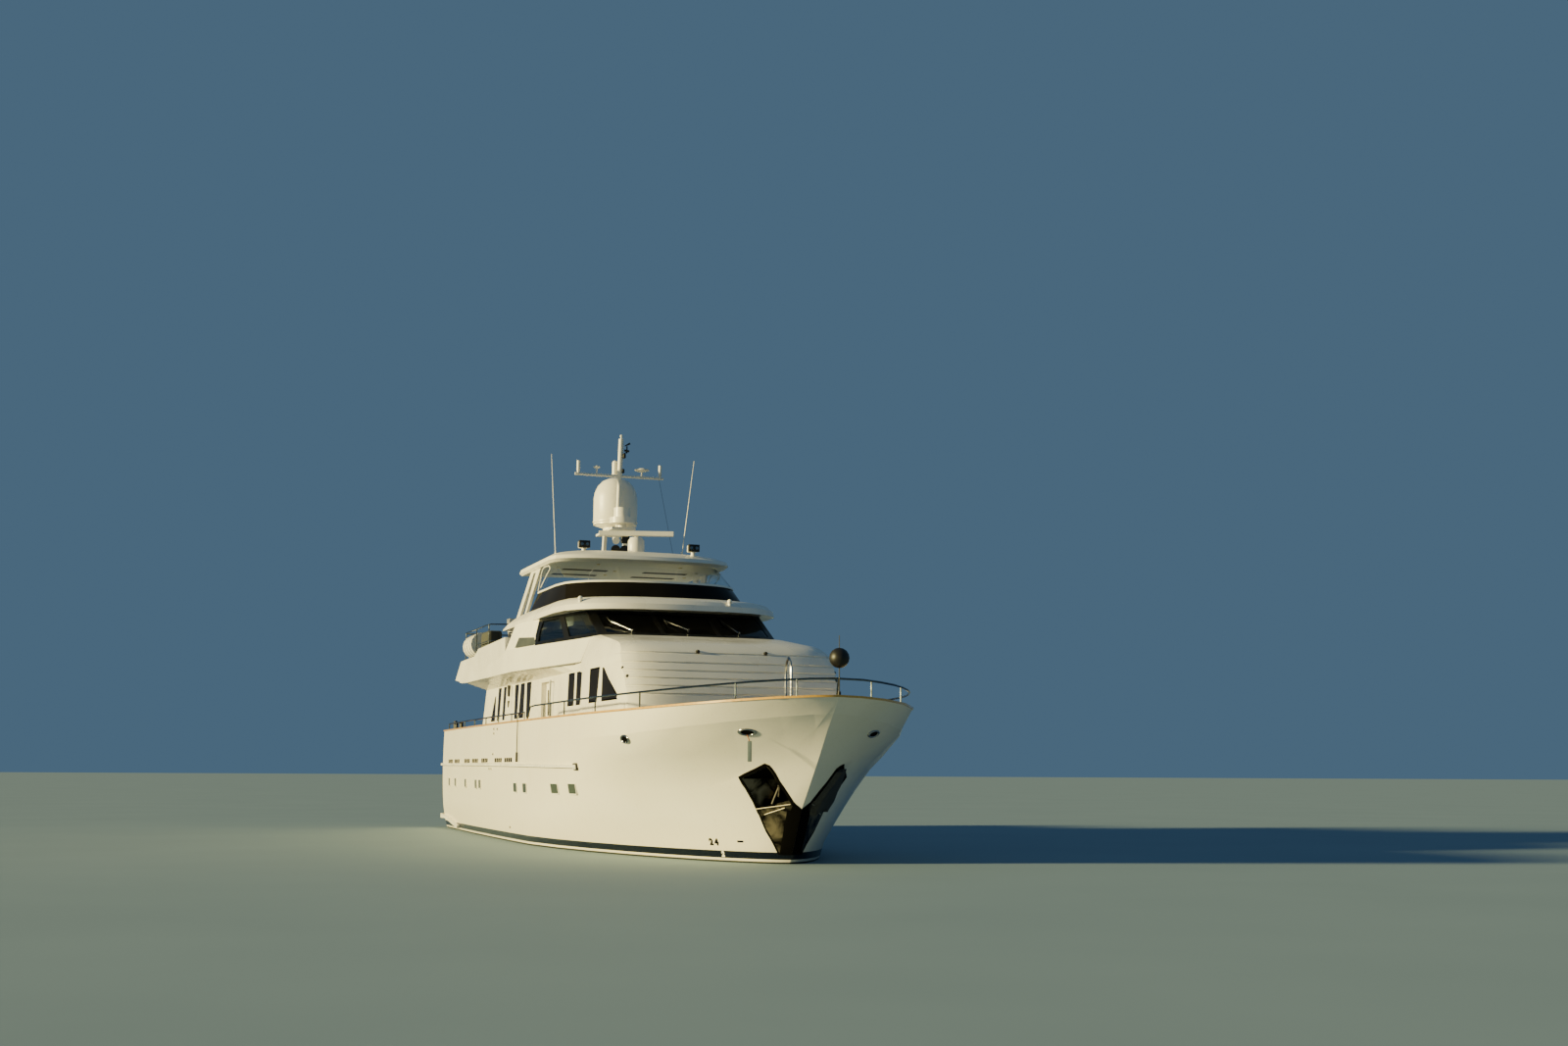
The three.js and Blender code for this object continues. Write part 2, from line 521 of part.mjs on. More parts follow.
const FOIL_NOSE = 180; // from a blade's nose to its fattest place
SIDES.forEach(([name, side]) => {
  // The shaft, its bearing, and the two legs of the bracket that leads up into the hull
  const legFoot = shaftLine(320, side);
  const legSection = (at) => (
    [[-130, -20], [130, -20], [130, 20], [-130, 20]].map(([x, across]) => v3(at.x + x, at.y + across, at.z)));
  const legs = [-1, 1].map((lean) => (
    skin([legSection(legFoot), legSection(v3(legFoot.x + 60, legFoot.y + lean * 420, -500))])));
  const shaftEnd = shaftLine(PROP.hubLength / 2 + 0.5, side);
  const shaft = joined([
    rod(shaftEnd, shaftLine(3400, side), 42, 12),
    rod(shaftEnd, shaftLine(430, side), 85, 14),
    ...legs,
  ]).subtract(hullFit);
  piece(hullGroup, `propeller_shaft_${name}`, largest(shaft), bronze);

  const starboardBlades = joined([0, 1, 2, 3].map((k) => blade(-1).rotate([90 * k, 0, 0])));
  const blades = side < 0 ? starboardBlades : starboardBlades.mirror([0, 1, 0]);
  const hub = rod(v3(-PROP.hubLength / 2 - 90, 0, 0), v3(PROP.hubLength / 2, 0, 0), 45, 14, PROP.hub);
  const propeller = piece(hullGroup, `propeller_${name}`, joined([hub, blades]), bronze);
  propeller.position.set(PROP.x, side * PROP.y, PROP.z);
  propeller.rotation.y = -SHAFT_TILT;

  // Section of a rudder or a fin: nose, fattest place, tail
  const foil = (fore, aft, thick, tail) => (
    [[fore, 0], [fore - FOIL_NOSE, thick], [aft, tail], [aft, -tail], [fore - FOIL_NOSE, -thick]]);
  const rudderLoop = (z, fore, aft) => (
    foil(fore, aft, 55, 8).map(([x, across]) => v3(RUDDER.x + x, side * RUDDER.y + across, z)));
  const rudder = joined([
    skin([rudderLoop(RUDDER.topZ, 260, -560), rudderLoop(RUDDER.bottomZ, 200, -460)]),
    rod(rudderStock(side, RUDDER.topZ - 100), rudderStock(side, RUDDER.boreTopZ - GAP), RUDDER.stock, 16),
  ]);
  piece(hullGroup, `rudder_${name}`, rudder, bronze);

  const axis = finAxis(side);
  const across = v3(0, axis.z, -axis.y);
  const finLoop = (distance, fore, aft, thick) => foil(fore, aft, thick, 6).map(([x, off]) => (
    finPoint(side, distance).addScaledVector(across, off).add(v3(x, 0, 0))));
  const fin = joined([
    skin([finLoop(330, 330, -470, 60), finLoop(1050, 180, -420, 30)]),
    rod(finPoint(side, FIN.boreEnd + GAP), finPoint(side, 420), FIN.stock, 16),
  ]);
  piece(hullGroup, `stabiliser_${name}`, fin, whitePaint);
});

// Main deckhouse
const house = assembly();
const HOUSE_AFT = { wall: -8120, foot: -9150, head: -8100 };
const houseBase = MAIN_DECK_Z + GAP;
const houseTop = SOFFIT_Z - GAP;
const HOUSE_INNER = HOUSE_HALF - WALL;
const houseSide = [
  [HOUSE_AFT.foot, houseBase], [HOUSE_JOINT_X, houseBase],
  [HOUSE_JOINT_X, houseTop], [HOUSE_AFT.head, houseTop],
];
const houseShell = blockY(houseSide, -HOUSE_HALF, HOUSE_HALF);
const THROUGH_Z = [1900, 4300]; // past the floor and the roof
const houseInside = box([HOUSE_AFT.wall + WALL, HOUSE_JOINT_X + 200], [-HOUSE_INNER, HOUSE_INNER], THROUGH_Z);
const cockpitRecess = box([-9100, HOUSE_AFT.wall], [-HOUSE_INNER, HOUSE_INNER], THROUGH_Z);

// Side windows, raked forward a little: foot aft, foot forward, head aft, head forward
const WINDOW_HEAD_Z = 4040;
const AFT_SILL_Z = 3195;
const FORE_SILL_Z = 3335;
const pane = (sill, [foot0, foot1, head0, head1]) => (
  [[foot0, sill], [foot1, sill], [head1, WINDOW_HEAD_Z], [head0, WINDOW_HEAD_Z]]);
const AFT_PANES = [
  [[-7330, AFT_SILL_Z], [-6780, AFT_SILL_Z], [-6680, 3830], [-6730, 3830]],
  ...[
    [-6420, -6150, -6230, -5890], [-5650, -5410, -5480, -5180], [-4000, -3700, -3930, -3520],
    [-3420, -2890, -3200, -2750], [-2470, -2130, -2440, -1930],
  ].map((row) => pane(AFT_SILL_Z, row)),
];
const FORE_PANES = [
  [2240, 2800, 2340, 2900], [3100, 3720, 3170, 3840], [4540, 5220, 4640, 5470],
].map((row) => pane(FORE_SILL_Z, row));
const RAKED_PANE = [[5710, FORE_SILL_Z], [7000, FORE_SILL_Z], [7080, 3400], [5840, 4010], [5760, 4010]];
const throughSides = (panes) => joined(panes.map((outline) => blockY(outline, -3300, 3300)));

const SIDE_DOOR = { x0: -700, x1: 200, z1: 3990 };
const SALOON_DOOR = { half: 460, z1: 3980 };
// Window glass lies in a rebate cut from inside, behind a thin part of the wall
const GLASS = { face: 35, thick: 12, headZ: WINDOW_HEAD_Z + 25 };
const AFT_GLASS = [[-7450, 3140], [-1860, 3140], [-1860, GLASS.headZ], [-7450, GLASS.headZ]];
const AFT_REBATE = [[-7455, 3135], [-1855, 3135], [-1855, GLASS.headZ + 5], [-7455, GLASS.headZ + 5]];
const FORE_GLASS = [[2180, 3280], [7160, 3280], [7120, 3460], [5980, GLASS.headZ], [2180, GLASS.headZ]];
const FORE_REBATE = [
  [2175, 3275], [7180, 3275], [7180, 3475], [5995, GLASS.headZ + 5], [2175, GLASS.headZ + 5],
];
const rebates = (outline, wallHalf) => joined(SIDES.map(([, side]) => (
  blockY(outline, side * (HOUSE_INNER - 200), side * (wallHalf - GLASS.face + GAP)))));
const sideDoorways = box([SIDE_DOOR.x0, SIDE_DOOR.x1], [-3000, 3000], [THROUGH_Z[0], SIDE_DOOR.z1]);
const saloonDoorwayX = [HOUSE_AFT.wall - 50, HOUSE_AFT.wall + WALL + 50];
const saloonDoorwayY = [-SALOON_DOOR.half, SALOON_DOOR.half];
const saloonDoorway = box(saloonDoorwayX, saloonDoorwayY, [THROUGH_Z[0], SALOON_DOOR.z1]);
const deckhouse = houseShell
  .subtract(houseInside)
  .subtract(cockpitRecess)
  .subtract(throughSides([...AFT_PANES, ...FORE_PANES]))
  .subtract(rebates(AFT_REBATE, HOUSE_HALF))
  .subtract(rebates(FORE_REBATE, HOUSE_HALF))
  .subtract(sideDoorways)
  .subtract(saloonDoorway);
piece(house, 'deckhouse_walls', deckhouse, whitePaint);

// Ribbed front of the deckhouse: heights, how far forward it reaches and its half-width
const FRONT_PROFILE = [
  [FOREDECK_Z, 8280], [3500, 7920], [3950, 7600], [4250, 7380],
  [4400, 7220], [4520, 6980], [4600, 6650], [SILL_Z, 4750],
];
const FRONT_SIDE = 2500; // half-width of the ribbed front along its straight sides
const FRONT_HALF = [[FOREDECK_Z, FRONT_SIDE], [4250, FRONT_SIDE], [SILL_Z, 2277]];
const FRONT_CORNER = { depth: 800, inner: 600, power: 4 };
const GROOVES = [3400, 3570, 3740, 3910, 4090, 4310];
const GROOVE = { half: 26, lip: 12, deep: 30 };
const CORNER_TURNS = [0, 18, 32, 45, 58, 72, 90].map(THREE.MathUtils.degToRad);

// A plan outline with a rounded front, open or square at its aft end
function roundedPlan({ aft, front, half, corner, power, z }) {
  const side = CORNER_TURNS.map((turn) => ({
    x: front - corner + corner * Math.sin(turn) ** (2 / power),
    y: half * Math.cos(turn) ** (2 / power),
  }));
  side[side.length - 1].y = 0;
  const starboard = side.map((p) => v3(p.x, -p.y, z));
  const port = side.slice(0, -1).reverse().map((p) => v3(p.x, p.y, z));
  return [v3(aft, -half, z), ...starboard, ...port, v3(aft, half, z)];
}
const frontLoop = (z, deep = 0) => roundedPlan({
  aft: HOUSE_JOINT_X + GAP,
  front: read(FRONT_PROFILE, z) - deep,
  half: read(FRONT_HALF, z),
  corner: FRONT_CORNER.depth,
  power: FRONT_CORNER.power,
  z,
});
const grooveLoops = (z) => [
  frontLoop(z - GROOVE.half),
  frontLoop(z - GROOVE.lip, GROOVE.deep),
  frontLoop(z + GROOVE.lip, GROOVE.deep),
  frontLoop(z + GROOVE.half),
];
const ROUNDED_TOP = [4400, 4520, 4600, SILL_Z];
const frontLoops = [
  frontLoop(FOREDECK_Z + GAP),
  ...GROOVES.flatMap(grooveLoops),
  ...ROUNDED_TOP.map((z) => frontLoop(z)),
];
const frontHollow = skin([FOREDECK_Z - 100, 3500, 4250, 4400].map((z) => roundedPlan({
  aft: HOUSE_JOINT_X - 100,
  front: read(FRONT_PROFILE, z) - WALL - 40,
  half: read(FRONT_HALF, z) - WALL - 50,
  corner: FRONT_CORNER.inner,
  power: FRONT_CORNER.power,
  z,
})));
const houseFront = skin(frontLoops)
  .subtract(frontHollow)
  .subtract(rebates(FORE_REBATE, FRONT_SIDE))
  .subtract(throughSides([...FORE_PANES, RAKED_PANE]));
piece(house, 'house_front', houseFront, whitePaint);

// Window glass, one sheet behind each group of panes. The forward sheet steps out where the front is wider
const GLASS_STEP = [3880, 4000];
SIDES.forEach(([name, side]) => {
  const sheet = (outline, wallHalf) => (
    blockY(outline, side * (wallHalf - GLASS.face - GLASS.thick), side * (wallHalf - GLASS.face)));
  piece(house, `aft_window_glass_${name}`, sheet(AFT_GLASS, HOUSE_HALF), darkGlass);
  const stepY = [HOUSE_HALF - GLASS.face - GLASS.thick, FRONT_SIDE - GLASS.face];
  const foreGlass = joined([
    sheet(FORE_GLASS, HOUSE_HALF).intersect(box([2000, GLASS_STEP[1]], [-3000, 3000], THROUGH_Z)),
    sideBox(GLASS_STEP, side, stepY, [FORE_GLASS[0][1], GLASS.headZ]),
    sheet(FORE_GLASS, FRONT_SIDE).intersect(box([GLASS_STEP[0], 7500], [-3000, 3000], THROUGH_Z)),
  ]);
  piece(house, `fore_window_glass_${name}`, foreGlass, darkGlass);
  // The door slides inside the wall, on a runner that stands on the deck
  const leaf = { x: [SIDE_DOOR.x0 - 60, SIDE_DOOR.x1 + 60], y: [HOUSE_INNER - 50, HOUSE_INNER - 6] };
  const runner = { x: [SIDE_DOOR.x0 + 40, SIDE_DOOR.x1 - 40], y: [HOUSE_INNER - 36, HOUSE_INNER - 16] };
  const door = joined([
    sideBox(leaf.x, side, leaf.y, [MAIN_DECK_Z + 30, SIDE_DOOR.z1 + 60]),
    sideBox(runner.x, side, runner.y, [MAIN_DECK_Z + GAP, MAIN_DECK_Z + 40]),
  ]);
  piece(house, `side_door_${name}`, door, whitePaint);
});
const saloonHinge = v3(HOUSE_AFT.wall - 12, -SALOON_DOOR.half, 0);
const saloonLeafHalf = SALOON_DOOR.half - 10;
const saloonLeafZ = [MAIN_DECK_Z + 12, SALOON_DOOR.z1 - 10];
const saloonDoor = joined([
  box([HOUSE_AFT.wall, HOUSE_AFT.wall + 50], [-saloonLeafHalf, saloonLeafHalf], saloonLeafZ),
  ...[2300, 3000, 3700].flatMap((z) => [
    rod(v3(saloonHinge.x, saloonHinge.y, z - 50), v3(saloonHinge.x, saloonHinge.y, z + 50), HINGE_PIN, 10),
    box([saloonHinge.x - 6, HOUSE_AFT.wall + 6], [saloonHinge.y, saloonHinge.y + 90], [z - 40, z + 40]),
  ]),
]);
piece(house, 'saloon_door', saloonDoor, darkGlass);

// Bridge deck with its side wings and the sunken floor of the pilothouse
const bridge = assembly();
const lowerHalf = (x) => read([[TAPER_X, BEAM_HALF], [HOUSE_JOINT_X, 2500]], x);
const sillHalf = (x) => read([[TAPER_X, BEAM_HALF], [HOUSE_JOINT_X, 2277]], x);
const BAND_XS = [TAPER_X, -600, 250, 1100, 1950, 2800, HOUSE_JOINT_X];
const WING_OUTLINE = [
  [-9700, 4440], [-8800, 4350], [-7900, BRIDGE_UNDER_Z], [TAPER_X, BRIDGE_UNDER_Z], [TAPER_X, SILL_Z],
  [-2230, SILL_Z], [-2300, 5240], [-6100, 5160], [-6650, 4990], [-8850, 4950],
];
const wings = SIDES.flatMap(([, side]) => [
  blockY(WING_OUTLINE, side * (BEAM_HALF - WALL), side * BEAM_HALF),
  skin(BAND_XS.map((x) => [
    v3(x, side * lowerHalf(x), BRIDGE_UNDER_Z), v3(x, side * sillHalf(x), SILL_Z),
    v3(x, side * (sillHalf(x) - WALL), SILL_Z), v3(x, side * (lowerHalf(x) - WALL), BRIDGE_UNDER_Z),
  ])),
]);
const slabHalf = (x) => Math.min(lowerHalf(x), sillHalf(x) + 60) - 60;
const slabLine = (side) => [[-9300, side * (BEAM_HALF - 60)], ...BAND_XS.map((x) => [x, side * slabHalf(x)])];
const slabSide = [
  [-9400, 4360], [-8800, 4320], [-7900, BRIDGE_UNDER_Z], [HOUSE_JOINT_X, BRIDGE_UNDER_Z],
  [HOUSE_JOINT_X, BRIDGE_DECK_Z], [-9400, BRIDGE_DECK_Z],
];
const slab = blockZ([...slabLine(-1), ...slabLine(1).reverse()], 4000, 5000)
  .intersect(blockY(slabSide, -4000, 4000));
// The soffit slopes down from the edge to the deckhouse walls
const SOFFIT_HALF = HOUSE_HALF - 10;
const soffitEdge = (x) => Math.max(slabHalf(x), SOFFIT_HALF);
const soffit = skin([HOUSE_AFT.wall - 30, ...BAND_XS].map((x) => [
  v3(x, -SOFFIT_HALF, SOFFIT_Z),
  v3(x, SOFFIT_HALF, SOFFIT_Z),
  v3(x, soffitEdge(x), BRIDGE_UNDER_Z + 2),
  v3(x, -soffitEdge(x), BRIDGE_UNDER_Z + 2),
]));
// Chocks for the tender, welded to the boat deck
const CHOCKS = { xs: [-8450, -5650], half: 80, y: [-900, 1300], z: [BRIDGE_DECK_Z - 20, BRIDGE_DECK_Z + 70] };
const chocks = CHOCKS.xs.map((x) => box([x - CHOCKS.half, x + CHOCKS.half], CHOCKS.y, CHOCKS.z));
// An open tray let into a deck: its outside, and the space in it up to a height
const trayOutside = (tray, top) => box(tray.x, [-tray.half, tray.half], [tray.z, top]);
const trayInside = (tray, floor, top) => box(
  [tray.x[0] + tray.thick, tray.x[1] - tray.thick],
  [tray.thick - tray.half, tray.half - tray.thick],
  [floor, top],
);
const TUB = { x: [-2050, 3640], half: 1950, z: 3650, thick: 80 };
const TUB_FLY = { x: [-4300, 1680], half: 2200, z: 5300, thick: 80 };
// Three steps, welded to the bridge deck, lead up to the flybridge floor
const STEP_HALF = 420;
const STEP_RUN = 240;
const stepRise = (FLY_FLOOR_Z - BRIDGE_DECK_Z) / 4;
const stepOutline = [
  [TUB_FLY.x[0], BRIDGE_DECK_Z - 20],
  ...[3, 2, 1].flatMap((k) => (
    [3 - k, 4 - k].map((run) => [TUB_FLY.x[0] - run * STEP_RUN, BRIDGE_DECK_Z + k * stepRise]))),
  [TUB_FLY.x[0] - 3 * STEP_RUN, BRIDGE_DECK_Z - 20],
];
const steps = blockY(stepOutline, -STEP_HALF, STEP_HALF);
// The crane's pedestal is welded to the deck
const CRANE = { x: -6300, y: -2100, baseZ: 4700, postZ: 5800, pivotZ: 5960, boom: 2700 };
const craneAxis = (z) => v3(CRANE.x, CRANE.y, z);
const pedestal = rod(craneAxis(BRIDGE_DECK_Z - 20), craneAxis(CRANE.baseZ), 200, 16);
const tub = trayOutside(TUB, SOFFIT_Z + 10);
const bridgeDeck = joined([slab, soffit, ...wings, ...chocks, pedestal, steps, tub])
  .subtract(trayInside(TUB, TUB.z + TUB.thick, 4500));
piece(bridge, 'bridge_deck', bridgeDeck, whitePaint);

// Pilothouse: walls that lean in from the sill to the brow, open aft
const PILOT_AFT_X = -2200;
const PILOT_WALL = 80;
const SILL_LINE = [
  [PILOT_AFT_X, 3100], [TAPER_X, 3100], [3700, 2277], [4080, 2160], [4300, 1900], [4400, 1200], [4440, 0],
];
const HEAD_LINE = [
  [PILOT_AFT_X, 2850], [TAPER_X, 2850], [2450, 2310], [2760, 2180], [2960, 1900], [3060, 1200], [3100, 0],
];
// The line at a share of the height, moved inwards
function pilotLine(share, inward) {
  const centre = [600, 0];
  const line = SILL_LINE.map(([x, y], i) => {
    const [headX, headY] = HEAD_LINE[i];
    return [x + (headX - x) * share, y + (headY - y) * share];
  });
  return line.map(([x, y], i) => {
    const [before, after] = [line[Math.max(i - 1, 0)], line[Math.min(i + 1, line.length - 1)]];
    const along = new THREE.Vector2(after[0] - before[0], after[1] - before[1]).normalize();
    if (i === line.length - 1) return [x - inward, centre[1]];
    if (i === 0) return [x, y - inward];
    return [x + along.y * inward, y - along.x * inward];
  });
}
// The pilothouse as a block whose sides are moved inwards
const pilotBlock = (inset, aft = PILOT_AFT_X) => skin([SILL_Z + GAP, BROW_Z].map((z) => {
  const half = pilotLine((z - SILL_Z) / (BROW_Z - SILL_Z), inset);
  half[0][0] = aft;
  return mirrored(half.map(([x, y]) => v3(x, y, z)));
}));
const PANE_Z = [4960, 5480];
const SIDE_PANES = [
  [[350, PANE_Z[0]], [2020, PANE_Z[0]], [1390, PANE_Z[1]], [220, PANE_Z[1]]],
  [[2350, PANE_Z[0]], [3870, PANE_Z[0]], [2860, PANE_Z[1]], [1690, PANE_Z[1]]],
];
const FRONT_PANES_Y = [[-1980, -730], [-630, 630], [730, 1980]];
const pilotWindows = joined([
  ...SIDES.flatMap(([, side]) => SIDE_PANES.map((outline) => blockY(outline, side * 2010, side * 3500))),
  ...FRONT_PANES_Y.map(([y0, y1]) => box([2500, 5000], [y0, y1], PANE_Z)),
]);
// The band of glass lies in a rebate close behind the walls' outer face
const BAND = { face: 25, thick: 13, aft: -1200 };
const openBlock = (inset) => pilotBlock(inset, PILOT_AFT_X - 100);
const bandSpace = (grow) => (
  box([BAND.aft - grow, 5000], [-3200, 3200], [SILL_Z + 40 - grow, BROW_Z - 40 + grow]));
const bandRebate = pilotBlock(BAND.face).subtract(openBlock(PILOT_WALL + 5)).intersect(bandSpace(5));
const pilotWalls = pilotBlock(0).subtract(openBlock(PILOT_WALL)).subtract(pilotWindows).subtract(bandRebate);
piece(bridge, 'pilothouse_walls', pilotWalls, blackPaint);
const glassBand = pilotBlock(BAND.face + GAP)
  .subtract(openBlock(BAND.face + BAND.thick))
  .intersect(bandSpace(0));
piece(bridge, 'pilothouse_glass', glassBand, darkGlass);
// The aft wall's port half from the foot up, notched for the flybridge's tray
const aftWallHalf = [
  [2979, BRIDGE_DECK_Z + GAP], [2979, 4970], [2768, BROW_Z - GAP],
  [TUB_FLY.half + 1, BROW_Z - GAP], [TUB_FLY.half + 1, TUB_FLY.z - GAP],
];
const aftWallOutline = [...aftWallHalf, ...aftWallHalf.map(([y, z]) => [-y, z]).reverse()];
const aftWall = blockX(aftWallOutline, PILOT_AFT_X, PILOT_AFT_X + PILOT_WALL);
piece(bridge, 'pilothouse_aft_wall', aftWall, whitePaint);

// Flybridge deck: brow, coaming and sunken floor
const fly = assembly();
// Columns: height, front, half-width
const BROW = [
  [BROW_Z + GAP, 3800, 2750], [5700, 3760, 2720], [5800, 3650, 2650],
  [5860, 3500, 2580], [FLY_TOP_Z, 3080, 2480],
];
const BROW_CORNER = { corner: 2000, power: 2.6 };
const browPlan = ([z, front, half]) => roundedPlan({ aft: -4400, front, half, z, ...BROW_CORNER });
const flyOuter = skin(BROW.map(browPlan));
const flyTub = trayOutside(TUB_FLY, BROW_Z + 60);
const flyWell = trayInside(TUB_FLY, FLY_FLOOR_Z, 6200);
const slopeSide = [[-4600, 5590], [-4420, 5590], [-2700, FLY_TOP_Z], [-2700, 6300], [-4600, 6300]];
const aftSlope = blockY(slopeSide, -3000, 3000);
const flyDeck = flyOuter.add(flyTub).subtract(flyWell).subtract(aftSlope)
  .subtract(box([-4600, -4100], [-STEP_HALF, STEP_HALF], [FLY_FLOOR_Z, 6200]));
piece(fly, 'flybridge_deck', flyDeck, whitePaint);

// Screens round the flybridge: a tinted band, its white capping and clear panels above
const SCREEN_CORNER = { corner: 1800, power: 2.5 };
// Rows: height, aft end, front and half-width, at the foot and at the head
function screen(rows, thick) {
  const loops = rows.map(([z, aft, front, half]) => {
    const outside = roundedPlan({ aft, front, half, z, ...SCREEN_CORNER });
    const inside = roundedPlan({ aft, front: front - thick, half: half - thick, z, ...SCREEN_CORNER });
    return [...outside, ...inside.reverse()];
  });
  return skin(loops);
}
const CAPPING = { foot: SCREEN_TOP_Z + GAP, head: SCREEN_TOP_Z + 50 };
const TINTED_ROWS = [[FLY_TOP_Z + GAP, -2426, 2313, 2431], [SCREEN_TOP_Z, -2148, 1770, 2280]];
const CAPPING_ROWS = [[CAPPING.foot, -2146, 1790, 2300], [CAPPING.head, -2118, 1770, 2295]];
const CLEAR_ROWS = [[CAPPING.head + GAP, -2118, 1750, 2275], [HARDTOP_Z - GAP, -1773, 480, 2280]];
const SHEET = 20;
piece(fly, 'flybridge_screen', screen(TINTED_ROWS, SHEET), darkGlass);
piece(fly, 'screen_capping', screen(CAPPING_ROWS, 3 * SHEET), whitePaint);
piece(fly, 'clear_screen', screen(CLEAR_ROWS, SHEET), clearGlass);

// Helm console, helm seat and settee on the flybridge floor
const flyFloor = FLY_FLOOR_Z + GAP;
const consoleSide = [[620, flyFloor], [1400, flyFloor], [1400, 6080], [1150, 6200], [760, 6060], [620, 5900]];
piece(fly, 'helm_console', blockY(consoleSide, -650, 650), whitePlastic);
const SEAT_Z = 5720; // under the helm seat, and the settee's top
const seat = joined([
  rod(v3(-250, 0, flyFloor), v3(-250, 0, SEAT_Z), 70, 12),
  box([-520, 20], [-300, 300], [5700, 5830]),
  blockY([[-520, 5800], [-400, 5800], [-470, 6330], [-560, 6330]], -290, 290),
]);
piece(fly, 'helm_seat', seat, upholstery);
const settee = joined([
  box([-3300, -1500], [1250, 2090], [flyFloor, SEAT_Z]),
  box([-3300, -1500], [1940, 2090], [5700, 6060]),
]);
piece(fly, 'flybridge_settee', settee, upholstery);

// Hardtop and the raked pillars that carry it aft
// Columns: height, aft end, front, half-width
const HARDTOP = [
  [HARDTOP_Z, -4000, 440, 2340], [7110, -4060, 560, 2400], [7210, -4020, 480, 2370],
  [7310, -3900, 250, 2200], [7390, -3700, -100, 1900], [HARDTOP_CROWN_Z, -3500, -500, 1400],
];
const HARDTOP_CORNER = { corner: 1000, power: 2.5 };
const hardtopLoop = ([z, aft, front, half]) => roundedPlan({ aft, front, half, z, ...HARDTOP_CORNER });
piece(fly, 'hardtop', skin(HARDTOP.map(hardtopLoop)), whitePaint);
// Columns: aft and forward edge at the foot, aft and forward edge at the head
const PILLARS = [[-4335, -3915, -2960, -2540], [-3240, -3140, -2270, -1780]];
const PILLAR = { footZ: 5600, footY: 2490, headY: 2310, thick: 70 };
SIDES.forEach(([name, side]) => {
  const bars = PILLARS.map(([foot0, foot1, head0, head1]) => {
    const ends = [[PILLAR.footZ, foot0, foot1, PILLAR.footY], [HARDTOP_Z - GAP, head0, head1, PILLAR.headY]];
    return skin(ends.map(([z, x0, x1, y]) => {
      const section = [[x1, y], [x0, y], [x0, y - PILLAR.thick], [x1, y - PILLAR.thick]];
      return section.map(([x, across]) => v3(x, side * across, z));
    }));
  });
  const tieY = [PILLAR.headY - 65, PILLAR.headY - 5].map((y) => side * y).sort((a, b) => a - b);
  const tie = box([PILLARS[0][3] - 60, PILLARS[1][2] + 60], tieY, [HARDTOP_Z - 60, HARDTOP_Z - GAP]);
  const frame = joined([...bars, tie]).subtract(flyDeck.translate([0, 0, GAP])).subtract(flyDeck);
  piece(fly, `hardtop_pillars_${name}`, largest(frame), whitePaint);
});

// Mast: two raked legs, a platform, the pole and its yard
const aloft = assembly();
const mastBase = HARDTOP_CROWN_Z + GAP;
const MAST_PLATFORM_Z = 8300;
const POLE = { foot: v3(-2780, 0, MAST_PLATFORM_Z - 40), head: v3(-2520, 0, 10770), radius: 58, upper: 70 };
const YARD = { x: -2640, z: 9760, half: 1240 };
const yardShare = (YARD.z - POLE.foot.z) / (POLE.head.z - POLE.foot.z);
const poleAtYard = POLE.foot.clone().lerp(POLE.head, yardShare);
const LEG_TOP_Z = MAST_PLATFORM_Z - 40;
const legSide = [[-3210, mastBase], [-3040, mastBase], [-2900, LEG_TOP_Z], [-3060, LEG_TOP_Z]];
const yardPoint = (y, up) => v3(YARD.x, y, YARD.z + up);
const mast = joined([
  ...SIDES.map(([, side]) => blockY(legSide, side * 330, side * 245)),
  box([-3450, -2900], [-380, 380], [mastBase, mastBase + 30]),
  box([-3960, -2180], [-300, 360], [MAST_PLATFORM_Z - 60, MAST_PLATFORM_Z]),
  rod(POLE.foot, poleAtYard, POLE.radius, 12),
  rod(poleAtYard.clone().lerp(POLE.foot, 0.04), POLE.head, POLE.upper, 12),
  rod(yardPoint(-YARD.half, 0), yardPoint(YARD.half, 0), 38, 8),
  ...[90 - YARD.half, YARD.half - 90].map((y) => rod(yardPoint(y, 0), yardPoint(y, 330), 36, 8)),
]);
piece(aloft, 'mast', mast, whitePaint);
const DOME = { x: -3560, y: 140, radius: 605 };
const domeBase = MAST_PLATFORM_Z + GAP;
const domeProfile = [
  [0, domeBase], [330, domeBase], [330, 8430],
  [DOME.radius - 40, 8510], [DOME.radius, 8600], [DOME.radius, 9270],
  [575, 9440], [500, 9610], [370, 9750], [195, 9830], [0, 9860],
];
piece(aloft, 'satellite_dome', turned(domeProfile, DOME.x, DOME.y, 24), whitePlastic);
const DRUM_X = -2290;
const drumProfile = [
  [0, domeBase], [120, domeBase], [120, 8390], [340, 8400], [340, 8560], [225, 8575], [225, 8830], [0, 8840],
];
piece(aloft, 'small_dome', turned(drumProfile, DRUM_X, 0, 20), whitePlastic);
const RADAR = { x: -790, z: 7950, pedestalTop: 7860, half: 975 };
const pedestalProfile = [
  [0, mastBase], [215, mastBase], [220, 7560], [215, 7760], [160, 7840], [60, 7850],
  [60, RADAR.pedestalTop], [0, RADAR.pedestalTop],
];
piece(aloft, 'radar_pedestal', turned(pedestalProfile, RADAR.x, 0, 16), whitePlastic);
const radarArray = joined([
  box([-85, 85], [-RADAR.half, RADAR.half], [-62, 62]),
  rod(v3(0, 0, RADAR.pedestalTop + GAP - RADAR.z), v3(0, 0, -55), 55, 12),
]);
const array = piece(aloft, 'radar_array', radarArray, whitePlastic);
array.position.set(RADAR.x, 0, RADAR.z);
array.rotation.z = THREE.MathUtils.degToRad(-16);

